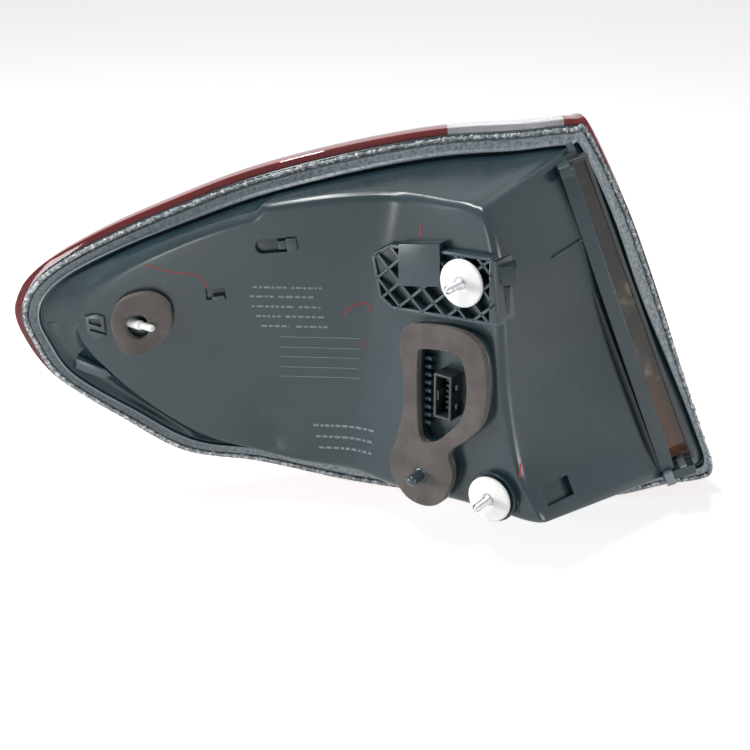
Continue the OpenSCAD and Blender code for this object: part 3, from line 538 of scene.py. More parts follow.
def build_bead(nt, b):
    v = coords(nt)
    n1 = noise(nt, v, 420, 6, 0.75)
    # the bead's grey, with near-white flecks painted in as glints
    c = ramp(nt, n1, [(0.38, lin(56, 66, 72)), (0.54, lin(150, 160, 166)), (0.62, lin(250, 252, 253))])
    nt.links.new(c, b.inputs["Base Color"])
    b.inputs["Roughness"].default_value = 0.12
    b.inputs["Coat Weight"].default_value = 0.8
    bump(nt, b, noise(nt, v, 700, 5, 0.7), 1.0, 0.0009)


M_BEAD = material("weld_bead", build_bead)


ACRYLIC_IOR = 1.49


def glassy(colour, rough=0.03, weight=1.0, wave=0.2):
    def build(nt, b):
        b.inputs["Base Color"].default_value = colour
        b.inputs["Roughness"].default_value = rough
        b.inputs["IOR"].default_value = ACRYLIC_IOR
        b.inputs["Transmission Weight"].default_value = weight
        bump(nt, b, noise(nt, coords(nt), 25, 2, 0.5), wave, 0.0003)
    return build


M_RED = material("lens_red_shot", glassy((0.36, 0.001, 0.006, 1), weight=0.6))
M_CLEAR = material("lens_clear_shot", glassy((0.96, 0.965, 0.97, 1), weight=0.8))


def build_brown(nt, b):
    """The smoked pane, warmer at its foot, with gold and pale flecks painted in as glints."""
    v = coords(nt)
    dark = ramp(nt, noise(nt, v, 22, 3, 0.5),
                [(0.46, lin(40, 42, 42)), (0.56, lin(74, 68, 58)), (0.64, lin(224, 190, 134))])
    warm = ramp(nt, noise(nt, v, 40, 3, 0.5),
                [(0.4, lin(98, 66, 50)), (0.6, lin(124, 84, 62)), (0.68, lin(226, 210, 190))])
    nt.links.new(blend_along(nt, v, "Z", -0.07, -0.10, dark, warm), b.inputs["Base Color"])
    b.inputs["Roughness"].default_value = 0.06
    b.inputs["Transmission Weight"].default_value = 0.2
    b.inputs["IOR"].default_value = ACRYLIC_IOR
    bump(nt, b, noise(nt, v, 60, 2, 0.5), 0.2, 0.0004)


M_BROWN = material("brown_pane", build_brown)


def build_foam(nt, b):
    v = coords(nt)
    cells = node(nt, "ShaderNodeTexVoronoi", feature="F1")
    cells.inputs["Scale"].default_value = 1300
    nt.links.new(v, cells.inputs["Vector"])
    tone = ramp(nt, noise(nt, v, 60, 5, 0.6), [(0.3, lin(74, 69, 66)), (0.7, lin(99, 93, 89))])
    nt.links.new(tone, b.inputs["Base Color"])
    b.inputs["Roughness"].default_value = 0.92
    b.inputs["Sheen Weight"].default_value = 0.15
    n1 = bump(nt, None, noise(nt, v, 160, 4, 0.6), 0.5, 0.0006)
    bump(nt, b, cells.outputs["Distance"], 0.6, 0.0004, n1)


M_FOAM = material("foam_cells", build_foam)


def build_white(nt, b):
    v = coords(nt)
    c = ramp(nt, noise(nt, v, 60, 4, 0.6), [(0.3, (0.80, 0.80, 0.785, 1)), (0.7, (0.88, 0.88, 0.87, 1))])
    nt.links.new(c, b.inputs["Base Color"])
    b.inputs["Roughness"].default_value = 0.45
    b.inputs["Subsurface Weight"].default_value = 0.1
    b.inputs["Subsurface Radius"].default_value = (0.003, 0.003, 0.003)
    bump(nt, b, noise(nt, v, 500, 3, 0.6), 0.15, 0.0002)


M_WHITE = material("washer_white", build_white)


def build_steel(nt, b):
    v = coords(nt)
    c = ramp(nt, noise(nt, v, 300, 4, 0.6), [(0.3, (0.3, 0.3, 0.31, 1)), (0.7, (0.6, 0.6, 0.62, 1))])
    nt.links.new(c, b.inputs["Base Color"])
    b.inputs["Metallic"].default_value = 1.0
    b.inputs["Roughness"].default_value = 0.32
    bump(nt, b, noise(nt, v, 900, 3, 0.6), 0.3, 0.0002)


M_STEEL = material("stud_steel", build_steel)


def build_crayon(nt, b):
    v = coords(nt)
    c = ramp(nt, noise(nt, v, 900, 3, 0.7), [(0.3, lin(120, 30, 26)), (0.7, lin(176, 48, 42))])
    nt.links.new(c, b.inputs["Base Color"])
    b.inputs["Roughness"].default_value = 0.7
    bump(nt, b, noise(nt, v, 1500, 3, 0.6), 0.6, 0.0002)


M_CRAYON = material("wax_mark", build_crayon)
M_BLACK = material("black_moulded", moulded((0.022, 0.022, 0.023, 1), (0.012, 0.012, 0.013, 1), (0.35, 0.5),
                                            1200, 0.15))
M_SHROUD = material("shroud_moulded", moulded(lin(52, 58, 60), lin(38, 42, 44), (0.3, 0.45)))
M_SOCKET = material("socket_inside", moulded(lin(40, 34, 30), lin(24, 20, 18), (0.4, 0.55)))


def metal(colour, rough, scale=400, strength=0.1):
    def build(nt, b):
        v = coords(nt)
        d = tuple(x * 0.86 for x in colour[:3]) + (1,)
        c = ramp(nt, noise(nt, v, 50, 4, 0.6), [(0.3, d), (0.7, colour)])
        nt.links.new(c, b.inputs["Base Color"])
        b.inputs["Metallic"].default_value = 1.0
        r = ramp(nt, noise(nt, v, 80, 4, 0.6), [(0.3, grey(rough * 0.8)), (0.7, grey(rough * 1.3))])
        nt.links.new(r, b.inputs["Roughness"])
        bump(nt, b, noise(nt, v, scale, 3, 0.6), strength, 0.0002)
    return build


M_CHROME = material("metallised_film", metal((0.86, 0.86, 0.88, 1), 0.06, 20, 0.06))
M_ALU = material("extruded_aluminium", metal((0.62, 0.63, 0.65, 1), 0.35, 600, 0.2))
M_SCREW = material("screw_zinc", metal((0.55, 0.55, 0.56, 1), 0.3, 500, 0.2))
M_BOARD = material("solder_mask", moulded((0.02, 0.13, 0.06, 1), (0.012, 0.09, 0.04, 1), (0.25, 0.4), 700,
                                          0.1))
M_CHIP = material("chip_compound", moulded((0.03, 0.03, 0.032, 1), (0.018, 0.018, 0.02, 1), (0.5, 0.6), 1500,
                                           0.15))
M_LED_A = material("led_amber", moulded((0.9, 0.5, 0.06, 1), (0.75, 0.38, 0.03, 1), (0.15, 0.25), 1500, 0.05))
M_LED_W = material("led_white", moulded((0.9, 0.88, 0.55, 1), (0.8, 0.76, 0.4, 1), (0.15, 0.25), 1500, 0.05))
M_GUIDE = material("light_guide_rod", glassy((0.93, 0.94, 0.93, 1), 0.08))
M_COVER = material("brake_cover_red", glassy((0.7, 0.02, 0.03, 1), 0.25, 0.85, 0.5))
M_REFLEX = material("reflex_prisms", moulded((0.5, 0.01, 0.02, 1), (0.36, 0.005, 0.012, 1), (0.1, 0.2), 300,
                                             0.6))

# ---------------------------------------------------------------- housing body
edge = facet_ring(1, 0, 0)
# How far the lens's lip shows past the flange: along the top and round the tip, and hardly at all elsewhere
LIP_KEYS = [3.5, 3.3, 2.9, 2.5, 2.3, 2.3, 2.3, 2.3, 2.3, 1.0, -1.0, -1.3, -1.3, -1.2, -0.8, -1.0, -1.5, -1.6,
            -1.6, -1.6, -1.6, -1.6, -1.6, -1.2, 0.6, 3.0]


def lip_at(count):
    t = np.arange(count) / count * len(LIP_KEYS)
    i = t.astype(int)
    k = np.array(LIP_KEYS)
    u = t - i
    u = u * u * (3 - 2 * u)
    return k[i] * (1 - u) + k[(i + 1) % len(k)] * u


EDGE = lip_at(N)
FLANGE_IN = EDGE + FLANGE_W
joint_in = joint_ring(FLANGE_IN, FLANGE_T + 2 * STEP)
wall_end = near_ring(edge, joint_in, EDGE_R)
land = facet_ring(1, EDGE_R, 0)
joint_back = joint_ring(FLANGE_IN + WALL, 0)
edge_back = facet_ring(1, WALL, WALL)
wall_back = near_ring(edge_back, joint_back, EDGE_R)
land_back = facet_ring(1, WALL + EDGE_R, WALL)


def mixed(r, s, t):
    return r + (s - r) * t


# from the middle of the facets outward: facets, rounded edge, wall, flange, and back inside
EDGE_STEPS = 9
rings = [facet_ring(s, EDGE_R, 0) for s in np.linspace(0.05, 1, 24)]
for k in range(1, EDGE_STEPS):
    t = k / EDGE_STEPS
    rings.append((1 - t) ** 2 * land + 2 * t * (1 - t) * edge + t * t * wall_end)
valley = joint_ring(FLANGE_IN + 3.2, 4.1)
# the channel outside the facet's edge, at the lower left
CHANNEL = 4.5 * np.exp(-((FL[:, 0] + 192) / 38) ** 4) * (FL[:, 1] < -45)


def sunk(ring, t):
    out = ring.copy()
    out[:, 1] += CHANNEL * math.sin(math.pi * t) ** 0.7
    return out


rings += [sunk(mixed(wall_end, valley, t), t) for t in np.linspace(0, 0.94, 12)]
rings += [joint_ring(FLANGE_IN + 2.6, 3.9), joint_ring(FLANGE_IN + 1.9, 4.2)]
# the flange has three levels: the raised line, the middle and the ledge under the weld bead
LINE, MIDDLE, LEDGE = FLANGE_T + 2 * STEP, FLANGE_T + STEP, FLANGE_T
BEAD_IN = EDGE + BEAD_W
FLANGE_ROW, FLANGE_ROWS = len(rings) + 1, 8
rings += [joint_ring(inset, drop) for inset, drop in (
    (FLANGE_IN + 1.5, LINE - 0.5), (FLANGE_IN + 1.2, LINE), (FLANGE_IN + 0.2, LINE),
    (FLANGE_IN - 0.15, LINE - 0.15), (FLANGE_IN - 0.9, MIDDLE + 0.1), (FLANGE_IN - 1.2, MIDDLE),
    (BEAD_IN + 0.7, MIDDLE), (BEAD_IN + 0.45, MIDDLE - 0.15), (BEAD_IN + 0.05, LEDGE + 0.1),
    (BEAD_IN - 0.3, LEDGE), (EDGE + 0.4, LEDGE), (EDGE, LEDGE - 0.4), (EDGE, 0))]
rings.append(joint_back)
rings += [sunk(mixed(joint_back, wall_back, t), 0.5) for t in (0.25, 0.5, 0.75)]
rings += [wall_back, 0.25 * wall_back + 0.5 * edge_back + 0.25 * land_back, land_back]
rings += [facet_ring(s, WALL + EDGE_R, WALL) for s in (0.85, 0.7, 0.55, 0.4, 0.25, 0.1)]
cb = facet_b(CENTRE[0], CENTRE[1])
body = ring_mesh("body", rings, [CENTRE[0], cb, CENTRE[1]], [CENTRE[0], cb + WALL, CENTRE[1]], M_HOUSE, 0)

KEY_OUTER = [(-41, -46), (-37, -34), (-24, -30), (-6, -28), (8, -30), (16, -38), (20, -60),
             (17, -82), (6, -96), (-5, -107), (-2, -122), (-9, -140), (-21, -147), (-35, -145),
             (-46, -133), (-47, -121), (-42, -104), (-38, -84), (-39, -64)]
KEY_INNER = [(-28, -50), (-24, -45), (-4, -43), (3, -48), (6, -64), (3, -82), (-8, -96),
             (-18, -104), (-26, -101), (-28, -76)]
key_curve = closed_curve(KEY_OUTER, 8)
key_hole = closed_curve(KEY_INNER, 8)
PAD_Y, POCKET = 4.0, 12.0

# the slope of the inboard wall, on which the rail and the pane lie
STRIP_END = -208
STRIP_M = Matrix.Rotation(CHORD, 4, "Z") @ Matrix.Translation(Vector((68, 0, 52)) * MM) @ Matrix.Rotation(
    math.radians(-21), 4, "Y") @ frame_matrix((0, 0, 0), (1, 0, 0), (0, 0, 1))


def strip_outline(grow):
    return [(-grow, grow), (7.5 + grow, grow), (12 + grow, STRIP_END - grow), (-grow, STRIP_END - grow)]


def facet_at(a, z):
    return float(facet_b(np.array(float(a)), np.array(float(z))))


SLOT, HOOK = (-105, 9), (-142.5, -23)
SLOT_B, HOOK_B = facet_at(*SLOT), facet_at(*HOOK)
POCKET_M = (Matrix.Rotation(CHORD, 4, "Z") @ Matrix.Translation(Vector((60.2, -5.5, -127.1)) * MM)
            @ Matrix.Rotation(math.radians(43), 4, "Z") @ Matrix.Rotation(math.radians(-30), 4, "X") @ ROW_XZ)


def around(at, p):
    return (at[0] + p[0], at[1] + p[1])


def slot_shape(g):
    return slot_loop(around(SLOT, (-8, -0.8)), around(SLOT, (8, 0.8)), 9 + 2 * g, 14)


def hook_shape(g):
    return bar_loop(around(HOOK, (-6 - g, -0.3)), around(HOOK, (6 + g, 0.3)), 7.5 + 2 * g)


def pocket_shape(g):
    return box_loop(-12 - g, -6 - g, 12 + g, 6 + g)


cutters = [prism(key_hole, -1, POCKET), prism(strip_outline(-1.5), 54, 100, STRIP_M),
           prism(strip_outline(0), 53, 70.8, STRIP_M),
           prism(slot_shape(0), SLOT_B - 12, SLOT_B + 6, CHORD_XZ),
           prism(hook_shape(0), HOOK_B - 9, HOOK_B + 4, CHORD_XZ),
           prism(pocket_shape(0), -9, 5, POCKET_M)]
body.data.materials.append(M_FLANGE)
for f in body.data.polygons:
    rows = [(v - 1) // N for v in f.vertices if 0 < v <= N * len(rings)]
    if rows and FLANGE_ROW <= min(rows) and max(rows) <= FLANGE_ROW + FLANGE_ROWS:
        f.material_index = 1
boolean(body, cutters)
smooth(body.data, 30)
parts = [body]

# pockets of the wing and the inboard wall: cups behind their mouths, lugs inside them
for name, shape, at_b, deep, m in (("slot_cup", slot_shape, SLOT_B, 3.6, CHORD_XZ),
                                   ("hook_cup", hook_shape, HOOK_B, 2.6, CHORD_XZ),
                                   ("pocket_cup", pocket_shape, 0, 3.2, POCKET_M)):
    parts.append(plate(name, [shape(2), shape(0)], at_b + 0.9, at_b + deep, M_HOUSE, 0.15, m))
    parts.append(plate(name, [shape(2)], at_b + deep, at_b + deep + 2, M_HOUSE, 0.15, m))
for name, at, p, q, w, d0, d1, r in (
        ("slot_lug", SLOT, (6, 0.6), (12, 1.2), 8, SLOT_B - 3, SLOT_B + 7, 0.6),
        ("slot_step", SLOT, (1, 0.1), (6.5, 0.7), 5, SLOT_B - 1, SLOT_B + 7, 0.5),
        ("hook_lug", HOOK, (-2, -2.6), (5.5, -2), 2.4, HOOK_B - 1.5, HOOK_B + 5, 0.5)):
    parts.append(plate(name, [bar_loop(around(at, p), around(at, q), w)], d0, d1, M_RIB_LIT, r, CHORD_XZ))
CLIP_B, WEDGE_B = facet_at(-214, -46), facet_at(-220, -75)
clip_seat = plate("clip_seat", [[(-223, -39), (-216, -37.5), (-211, -39), (-211, -52), (-217, -53.5),
                                 (-222, -50)]], CLIP_B - 2.2, CLIP_B + 3, M_RIB_LIT, 0.5, CHORD_XZ)
boolean(clip_seat, [prism([(-220.5, -40.5), (-213, -40.2), (-213, -46), (-220.5, -43.5)],
                          CLIP_B - 3.2, CLIP_B - 0.1, CHORD_XZ),
                    prism(bar_loop((-220, -47), (-205, -51.5), 2.2), CLIP_B - 3.2, CLIP_B - 0.2, CHORD_XZ)])
smooth(clip_seat.data, 30)
parts.append(clip_seat)
parts.append(plate("wedge", [[(-231, -68), (-213, -76), (-210, -80), (-216, -82), (-232, -75)]],
                   WEDGE_B - 0.8, WEDGE_B + 6, M_RIB_LIT, 0.8, CHORD_XZ))

# keyhole pad round the socket's pocket, its floor and the teeth along one side
TEETH, TOOTH_FOOT, TOOTH_PITCH = 9, -96, 5.2
parts.append(plate("pad", [key_curve, key_hole], PAD_Y, POCKET + 2, M_HOUSE, 0.8))
parts.append(plate("pocket_floor", [key_curve], POCKET, POCKET + 2.5, M_HOUSE, 0.2))
for k in range(TEETH):
    z = TOOTH_FOOT + k * TOOTH_PITCH
    parts.append(plate("tooth", [box_loop(-27.5, z, -23, z + 2.2)], POCKET - 5, POCKET + 1, M_RIB_LIT, 0.4))

# rib lattice: its rim's corners (X, Z), the depth of its front, and the ribs' angle, spacing and reach
LAT = [(-62, 4), (-50, 12), (-15, 15), (18, 17), (24, -20), (-48, -25.5), (-57, -20)]
LAT_Y = 2.5
RIB_ANGLE, RIB_GAP, RIB_REACH, RIB_MID_Z = math.radians(42), 16, 60, -9


def clip(p, q, poly):
    """The stretch of p-q inside a convex outline, given either way round."""
    p, q = np.array(p, float), np.array(q, float)
    t0, t1 = 0.0, 1.0
    c = np.mean(np.array(poly), 0)
    for i in range(len(poly)):
        a, b = np.array(poly[i], float), np.array(poly[(i + 1) % len(poly)], float)
        n = np.array([-(b - a)[1], (b - a)[0]])
        if n @ (c - a) < 0:
            n = -n
        d0, d1 = n @ (p - a), n @ (q - a)
        if d0 < 0 and d1 < 0:
            return None
        if d0 < 0:
            t0 = max(t0, d0 / (d0 - d1))
        elif d1 < 0:
            t1 = min(t1, d0 / (d0 - d1))
    return (p + (q - p) * t0, p + (q - p) * t1) if t1 > t0 + 1e-3 else None


for k in range(-5, 5):
    mid = k * RIB_GAP + 5
    for side in (-1, 1):
        dx, dz = RIB_REACH * math.cos(RIB_ANGLE), side * RIB_REACH * math.sin(RIB_ANGLE)
        seg = clip((mid - dx, RIB_MID_Z - dz), (mid + dx, RIB_MID_Z + dz), LAT)
        if seg is not None:
            parts.append(plate("rib", [bar_loop(*seg, 1.7)], LAT_Y, SEAT + 1, M_RIB_LIT, 0.35))
for p, q in zip(LAT, LAT[1:] + LAT[:1]):
    parts.append(plate("rib", [bar_loop(p, q, 1.9)], LAT_Y, SEAT + 1, M_RIB_LIT, 0.35))
parts.append(plate("tab", [[(-43, 15), (-15, 20.5), (-14, -5), (-43, -10.5)]], LAT_Y - 1.5, SEAT + 1,
                   M_HOUSE, 0.4))
parts.append(plate("side_rib", [[(17, 16), (21, 16), (24.8, -20), (18, -20)]], LAT_Y, SEAT + 12, M_HOUSE,
                   0.4))
parts.append(plate("lug", [box_loop(20, 12, 31, 1)], -7, 12, M_HOUSE, 0.5, CHORD_XZ))
parts.append(plate("lug", [box_loop(20, 0, 28, -16)], -5, 12, M_HOUSE, 0.5, CHORD_XZ))

# rail along the inboard flange, fine ribs of the inboard end, frame of the pane
for name, loop, d0, d1, mat, r in (
        ("rail", box_loop(-9, 0, 0, STRIP_END), 54, 80, M_RAIL_LIT, 0.7),
        ("rail_head", box_loop(-9, 4, -2, -3), 50, 80, M_RAIL_LIT, 0.5),
        ("rail_lug", box_loop(-8, STRIP_END, -2.5, STRIP_END - 9), 50, 70, M_MARK_LIT, 0.7),
        ("rail_lug", box_loop(3, STRIP_END, 7.5, STRIP_END - 6.5), 53, 70, M_MARK_LIT, 0.7)):
    parts.append(plate(name, [loop], d0, d1, mat, r, STRIP_M))
for name, p, q, n, w, h in (
        ("wall_rib", (55.6, 30.8, 5.6), (75.0, 52.6, 9.4), (0.71, -0.67, 0.23), 0.9, 0.8),
        ("top_rib", (66.0, 70.5, 63.0), (68.6, 68.6, 58.0), (0.66, -0.65, 0.38), 2.2, 2.2),
        ("step_rib", (33.0, -9.0, -90.0), (36.4, -16.5, -136.0), (0.15, -0.97, 0.18), 0.8, 0.7)):
    parts.append(fin(name, p, q, n, w, h, M_RIB_LIT))
parts.append(plate("rail_foot", [box_loop(-9, STRIP_END - 1, 12, STRIP_END - 7)], 52, 80, M_RAIL_LIT, 0.6,
                   STRIP_M))
parts.append(plate("pane_frame", [strip_outline(2.4), strip_outline(0)], 63, 71, M_SHROUD, 0.4, STRIP_M))

# bosses, locating pin, breather nozzle, collar of the side pin
for at, r, front, back in ((UPPER, 6.5, 2.5, 13.5), (LOWER, 6.5, 2.5, 13.5), (LOWER, 15.5, 4.5, 10.5)):
    parts.append(turned("boss", [(0, front), (r - 0.4, front), (r, front + 0.4), (r, back), (0, back)],
                        at, ALONG_Y, M_HOUSE))
parts.append(turned("locator", [(0, -12), (1.6, -11.6), (2.8, -10.6), (3.3, -9.3), (3.5, -8), (3.5, 0),
                                (4.25, 0.3), (4.25, 5)], LOCATOR, ALONG_Y, M_RIB_LIT))
parts.append(turned("nozzle", [(0, -171), (2, -171), (4.1, -171), (4.5, -170.6), (4.5, -157), (0, -157)],
                    (65 * CC - 58 * CS, 65 * CS + 58 * CC, 0), (0, 0, 1), M_HOUSE))
parts.append(turned("pin_collar", [(0, 5), (4.6, 5), (5, 5.4), (5, 13), (0, 13)], SIDE_PIN, (-1, 0, 0),
                    M_HOUSE))
# the painted shadow beside the rail, a dark strip where the gap's shade falls, and the painted highlight line
# on the flange's raised step
parts.append(fin("rail_gap_shadow_strip", (79.6, 53.4, -14.5), (131.0, 52.6, -139.5), (0.66, -0.71, 0.25), 3.4, 0.25,
                 M_RAIL_SHADOW))
parts.append(add("step_highlight_line", *tube(joint_ring(FLANGE_IN + 0.7, LINE + 0.1), 6, lambda i: 1, 0.5, 0.4),
                 M_STEP_HIGHLIGHT, 180))
house = join("housing_dressed", parts)
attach(house, "root")
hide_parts("housing")


# ---------------------------------------------------------------- weld bead
BEAD_STEPS, BEAD_R = 64, 1.15


def bead():
    """The rough bead between flange and lens: a tube whose radius wanders."""
    jl = closed_curve(JOINT_KEYS, BEAD_STEPS)
    p = toward(jl, core_of(jl), lip_at(len(jl)) + 2.3)
    path = np.stack([p[:, 0], joint_b(p[:, 0]) - FLANGE_T - 0.3, p[:, 1]], 1)
    r1 = random.Random(3)
    wob = np.array([r1.uniform(-1, 1) for _ in path])
    wob = (wob + np.roll(wob, 1) * 0.7) / 1.7
    return add("weld_bead", *tube(path, 8, lambda i: BEAD_R * (1 + 0.34 * wob[i] + 0.2 * r1.uniform(-1, 1)),
                                  1.25, 0.9), M_BEAD, 180)


bead_o = bead()
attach(bead_o, "root")

# ---------------------------------------------------------------- outer lens, one shell in two shots
CLEAR_KEYS = [(-8, 110), (60, 110), (66, 60), (100, -30), (106, -64), (92, -78), (30, -78), (16, -64),
              (12, -20), (-3, 50)]
LENS_T, CROWN, SWELL = 3.0, 79.8, 1.55


def lens():
    cbk = CROWN - LENS_T
    out_scales = [0.997, 0.99, 0.98, 0.965, 0.945, 0.92, 0.89, 0.855, 0.815, 0.77, 0.72, 0.665, 0.605, 0.54,
                  0.47, 0.4, 0.33, 0.26, 0.19, 0.12, 0.05]
    in_scales = [0.05, 0.15, 0.26, 0.37, 0.47, 0.57, 0.66, 0.74, 0.81, 0.87, 0.92, 0.96, 0.985]
    rr = [dome_ring(cbk, 3, LENS_T + 1, s) for s in in_scales]
    rr += [dome_ring(cbk, 0.2, LIP + 2.4, 1), dome_ring(cbk, 0.2, 1.0 - SWELL, 1),
           dome_ring(cbk, 0.35, 0.4 - SWELL, 1),
           dome_ring(cbk, 0.8, -SWELL, 1), dome_ring(CROWN, 1.4, -SWELL, 1)]
    rr += [dome_ring(CROWN, 3, -SWELL, s) for s in out_scales]
    jb = joint_b(LENS_CENTRE[0])
    return ring_mesh("lens", rr, [LENS_CENTRE[0], jb + 3 + cbk, LENS_CENTRE[1]],
                     [LENS_CENTRE[0], jb + 3 + CROWN, LENS_CENTRE[1]], None, 0)


def lens_part(name, inside, mat, cad, grow):
    """The shell inside or outside the clear window, whose outline is moved out by grow."""
    o = lens()
    keys = np.array(CLEAR_KEYS, float)
    window = toward(keys, np.mean(keys, 0)[None, :], -grow)
    boolean(o, [prism(window, 40, 200, CHORD_XZ)], "INTERSECT" if inside else "DIFFERENCE")
    o.name = name
    o.data.materials.clear()
    o.data.materials.append(mat)
    smooth(o.data, 30)
    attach(o, "root")
    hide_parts(cad)


lens_part("lens_red_dressed", False, M_RED, "lens_red", 0.12)
lens_part("lens_clear_dressed", True, M_CLEAR, "lens_clear", 0)

# ---------------------------------------------------------------- foam gaskets
kg = plate("keyhole_foam", [key_curve, key_hole, circle_loop(LOCATOR[0], LOCATOR[2], 4.4)], 0.0, 4.0, M_FOAM,
           0.7, res=3)
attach(kg, "root")
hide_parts("connector_gasket")
SIDE_KEYS = [(-9.1, 16.3), (0, 20), (9.1, 20.6), (17, 15.5), (19.6, 7.7), (18.6, -2), (14.2, -9.2), (5, -16),
             (-3.6, -20.8), (-12, -19.2), (-16, -10), (-17.4, 0), (-14.5, 10)]
SIDE_HOLE = [(-1.8, 7), (3.5, 5), (5.6, -1), (3.5, -7.5), (-1.8, -10), (-6.8, -7.5), (-8.9, -1.5),
             (-6.8, 4.5)]
tilt = math.atan(CREASE_SLOPE * math.sin(WING_ANGLE))
FOAM_X, FOAM_Z = -183.4, -42
wy = SEAT + (FOAM_X - crease_at(FOAM_Z)) * WING - 0.09
WING_M = (Matrix.Translation(Vector((FOAM_X, wy, FOAM_Z)) * MM) @ Matrix.Rotation(WING_ANGLE, 4, "Z")
          @ Matrix.Rotation(tilt, 4, "X") @ ROW_XZ)
sg = plate("side_foam", [closed_curve(SIDE_KEYS, 8), closed_curve(SIDE_HOLE, 6)], -5.3, -0.3, M_FOAM, 0.7,
           WING_M, res=3)
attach(sg, "root")
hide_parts("side_gasket")


# ---------------------------------------------------------------- connector shroud
HX, HZ = -11, -72.5


def rect(w, h):
    """A rectangle round the socket's middle."""
    return box_loop(HX - w / 2, HZ - h / 2, HX + w / 2, HZ + h / 2)


shroud = plate("shroud", [rect(12, 28), rect(9, 25)], 1, 13, M_SHROUD, 0.35)
boolean(shroud, [prism(box_loop(HX + 3, HZ + z0, HX + 8, HZ + z0 + 4), 3, 8) for z0 in (-9, 3)])
smooth(shroud.data, 30)
head = [shroud, plate("header_base", [rect(12, 28)], 12, 22.5, M_SOCKET, 0.2),
        plate("header_flange", [rect(16, 32)], 14.5, 17.5, M_SHROUD, 0.3),
        plate("key_rib", [box_loop(HX - 4.6, HZ - 3, HX - 3.2, HZ + 3)], 2, 13, M_SHROUD, 0.2)]
head_o = join("header_dressed", head)
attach(head_o, "root")
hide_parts("connector_header")


# ---------------------------------------------------------------- studs, washers, side pin
PITCH = 0.8


def stud(name, at, cad):
    prof = [(0, -15), (0.9, -15), (1.6, -14.0), (2.3, -12.9)]
    h = -12.6
    while h < -0.3:
        prof += [(2.48, h), (2.18, h + PITCH / 2)]
        h += PITCH
    prof += [(2.5, 0), (3.2, 0.05), (3.2, 10.7), (0, 10.7)]
    o = turned(name, prof, at, ALONG_Y, M_STEEL, 40, 50)
    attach(o, "root")
    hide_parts(cad)


def washer(name, at, cad):
    prof = [(3.4, 2.5), (3.4, 0.15), (3.6, 0.0), (6.0, 0.0), (6.4, 0.25), (12.9, 0.25), (13.6, 0.45),
            (14.0, 1.0), (14.0, 2.1), (13.7, 2.5), (3.4, 2.5)]
    o = turned(name, prof, at, ALONG_Y, M_WHITE, 96, 40)
    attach(o, "root")
    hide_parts(cad)


stud("stud_upper", UPPER, "upper_stud")
stud("stud_lower", LOWER, "lower_stud")
washer("washer_upper", UPPER, "upper_washer")
washer("washer_lower", LOWER, "lower_washer")
pin_prof = [(0, -9), (3.0, -9), (3.0, 7.0), (2.8, 7.3), (3.0, 7.6), (3.0, 9.4), (2.7, 10.0), (2.16, 10.2),
            (2.16, 18.4), (1.7, 19.5), (0.8, 20.0), (0, 20.0)]
pin = turned("side_pin_dressed", pin_prof, SIDE_PIN, (1, 0, 0), M_WHITE, 40, 40)
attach(pin, "root")
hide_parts("side_pin")


# ---------------------------------------------------------------- marks on the wing
def on_surface(a, z, lift):
    return to_row([a, float(facet_b(np.array(a), np.array(z))) - lift, z])[0]


def stroke(name, pts, width, height, mat):
    """A low ridge along points (a, z) on the facets."""
    v, f = [], []
    pts = [np.array(p, float) for p in pts]
    fine = []
    for p, q in zip(pts, pts[1:]):
        k = max(1, int(np.linalg.norm(q - p) / 2))
        fine += [p + (q - p) * i / k for i in range(k)]
    fine.append(pts[-1])
    for i, p in enumerate(fine):
        t = fine[min(i + 1, len(fine) - 1)] - fine[max(i - 1, 0)]
        t = t / np.linalg.norm(t)
        n = np.array([-t[1], t[0]]) * width / 2
        for s, h in ((-1, -0.1), (-0.7, height), (0.7, height), (1, -0.1)):
            q = p + n * s
            v.append(on_surface(q[0], q[1], h))
    for i in range(len(fine) - 1):
        for k in range(3):
            f.append((i * 4 + k, i * 4 + k + 1, (i + 1) * 4 + k + 1, (i + 1) * 4 + k))
        f.append((i * 4 + 3, i * 4, (i + 1) * 4, (i + 1) * 4 + 3))
    f += [(0, 1, 2, 3), tuple((len(fine) - 1) * 4 + k for k in (3, 2, 1, 0))]
    return add(name, v, f, mat, 50)


marks = [stroke("rule", [(-105, z), (-56.5, z)], 0.5, 0.3, M_MARK_LIT) for z in (-50.5, -57.5, -64, -71, -77.5)]


def dash_row(z, a, stop, longest, width, trim):
    """Dashes of changing length from a past stop, the last one trimmed to it or not."""
    while a < stop:
        w = rng.uniform(1.6, longest)
        end = min(a + w, stop) if trim else a + w
        marks.append(stroke("dash", [(a, z), (end, z)], width, 0.35, M_MARK_LIT))
        a += w + 1.0


for z, ranges in ((-18, [(-120, -100), (-97, -78)]), (-24, [(-122, -108), (-105, -84)]),
                  (-30.5, [(-121, -96), (-93, -80)]), (-37, [(-119, -104), (-101, -78)]),
                  (-43.5, [(-116, -99), (-95, -76)])):
    for a0, a1 in ranges:
        dash_row(z, a0, a1, 4.5, 1.5, True)
for z in (-112, -120, -128):
    dash_row(z, -86 + (z + 112) * -0.2, -50, 4.0, 1.8, False)
mark_o = join("moulded_marks", marks)
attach(mark_o, "root")


def wax(name, pts, width=0.9):
    """A wax pencil stroke through points (a, z), with the unsteady line of a hand."""
    r2 = random.Random(name)
    fine = []
    for p, q in zip(pts, pts[1:]):
        k = max(2, int(math.dist(p, q) / 1.5))
        fine += [(p[0] + (q[0] - p[0]) * i / k + r2.uniform(-0.15, 0.15),
                  p[1] + (q[1] - p[1]) * i / k + r2.uniform(-0.15, 0.15)) for i in range(k)]
    return stroke(name, fine + [pts[-1]], width, 0.12, M_CRAYON)


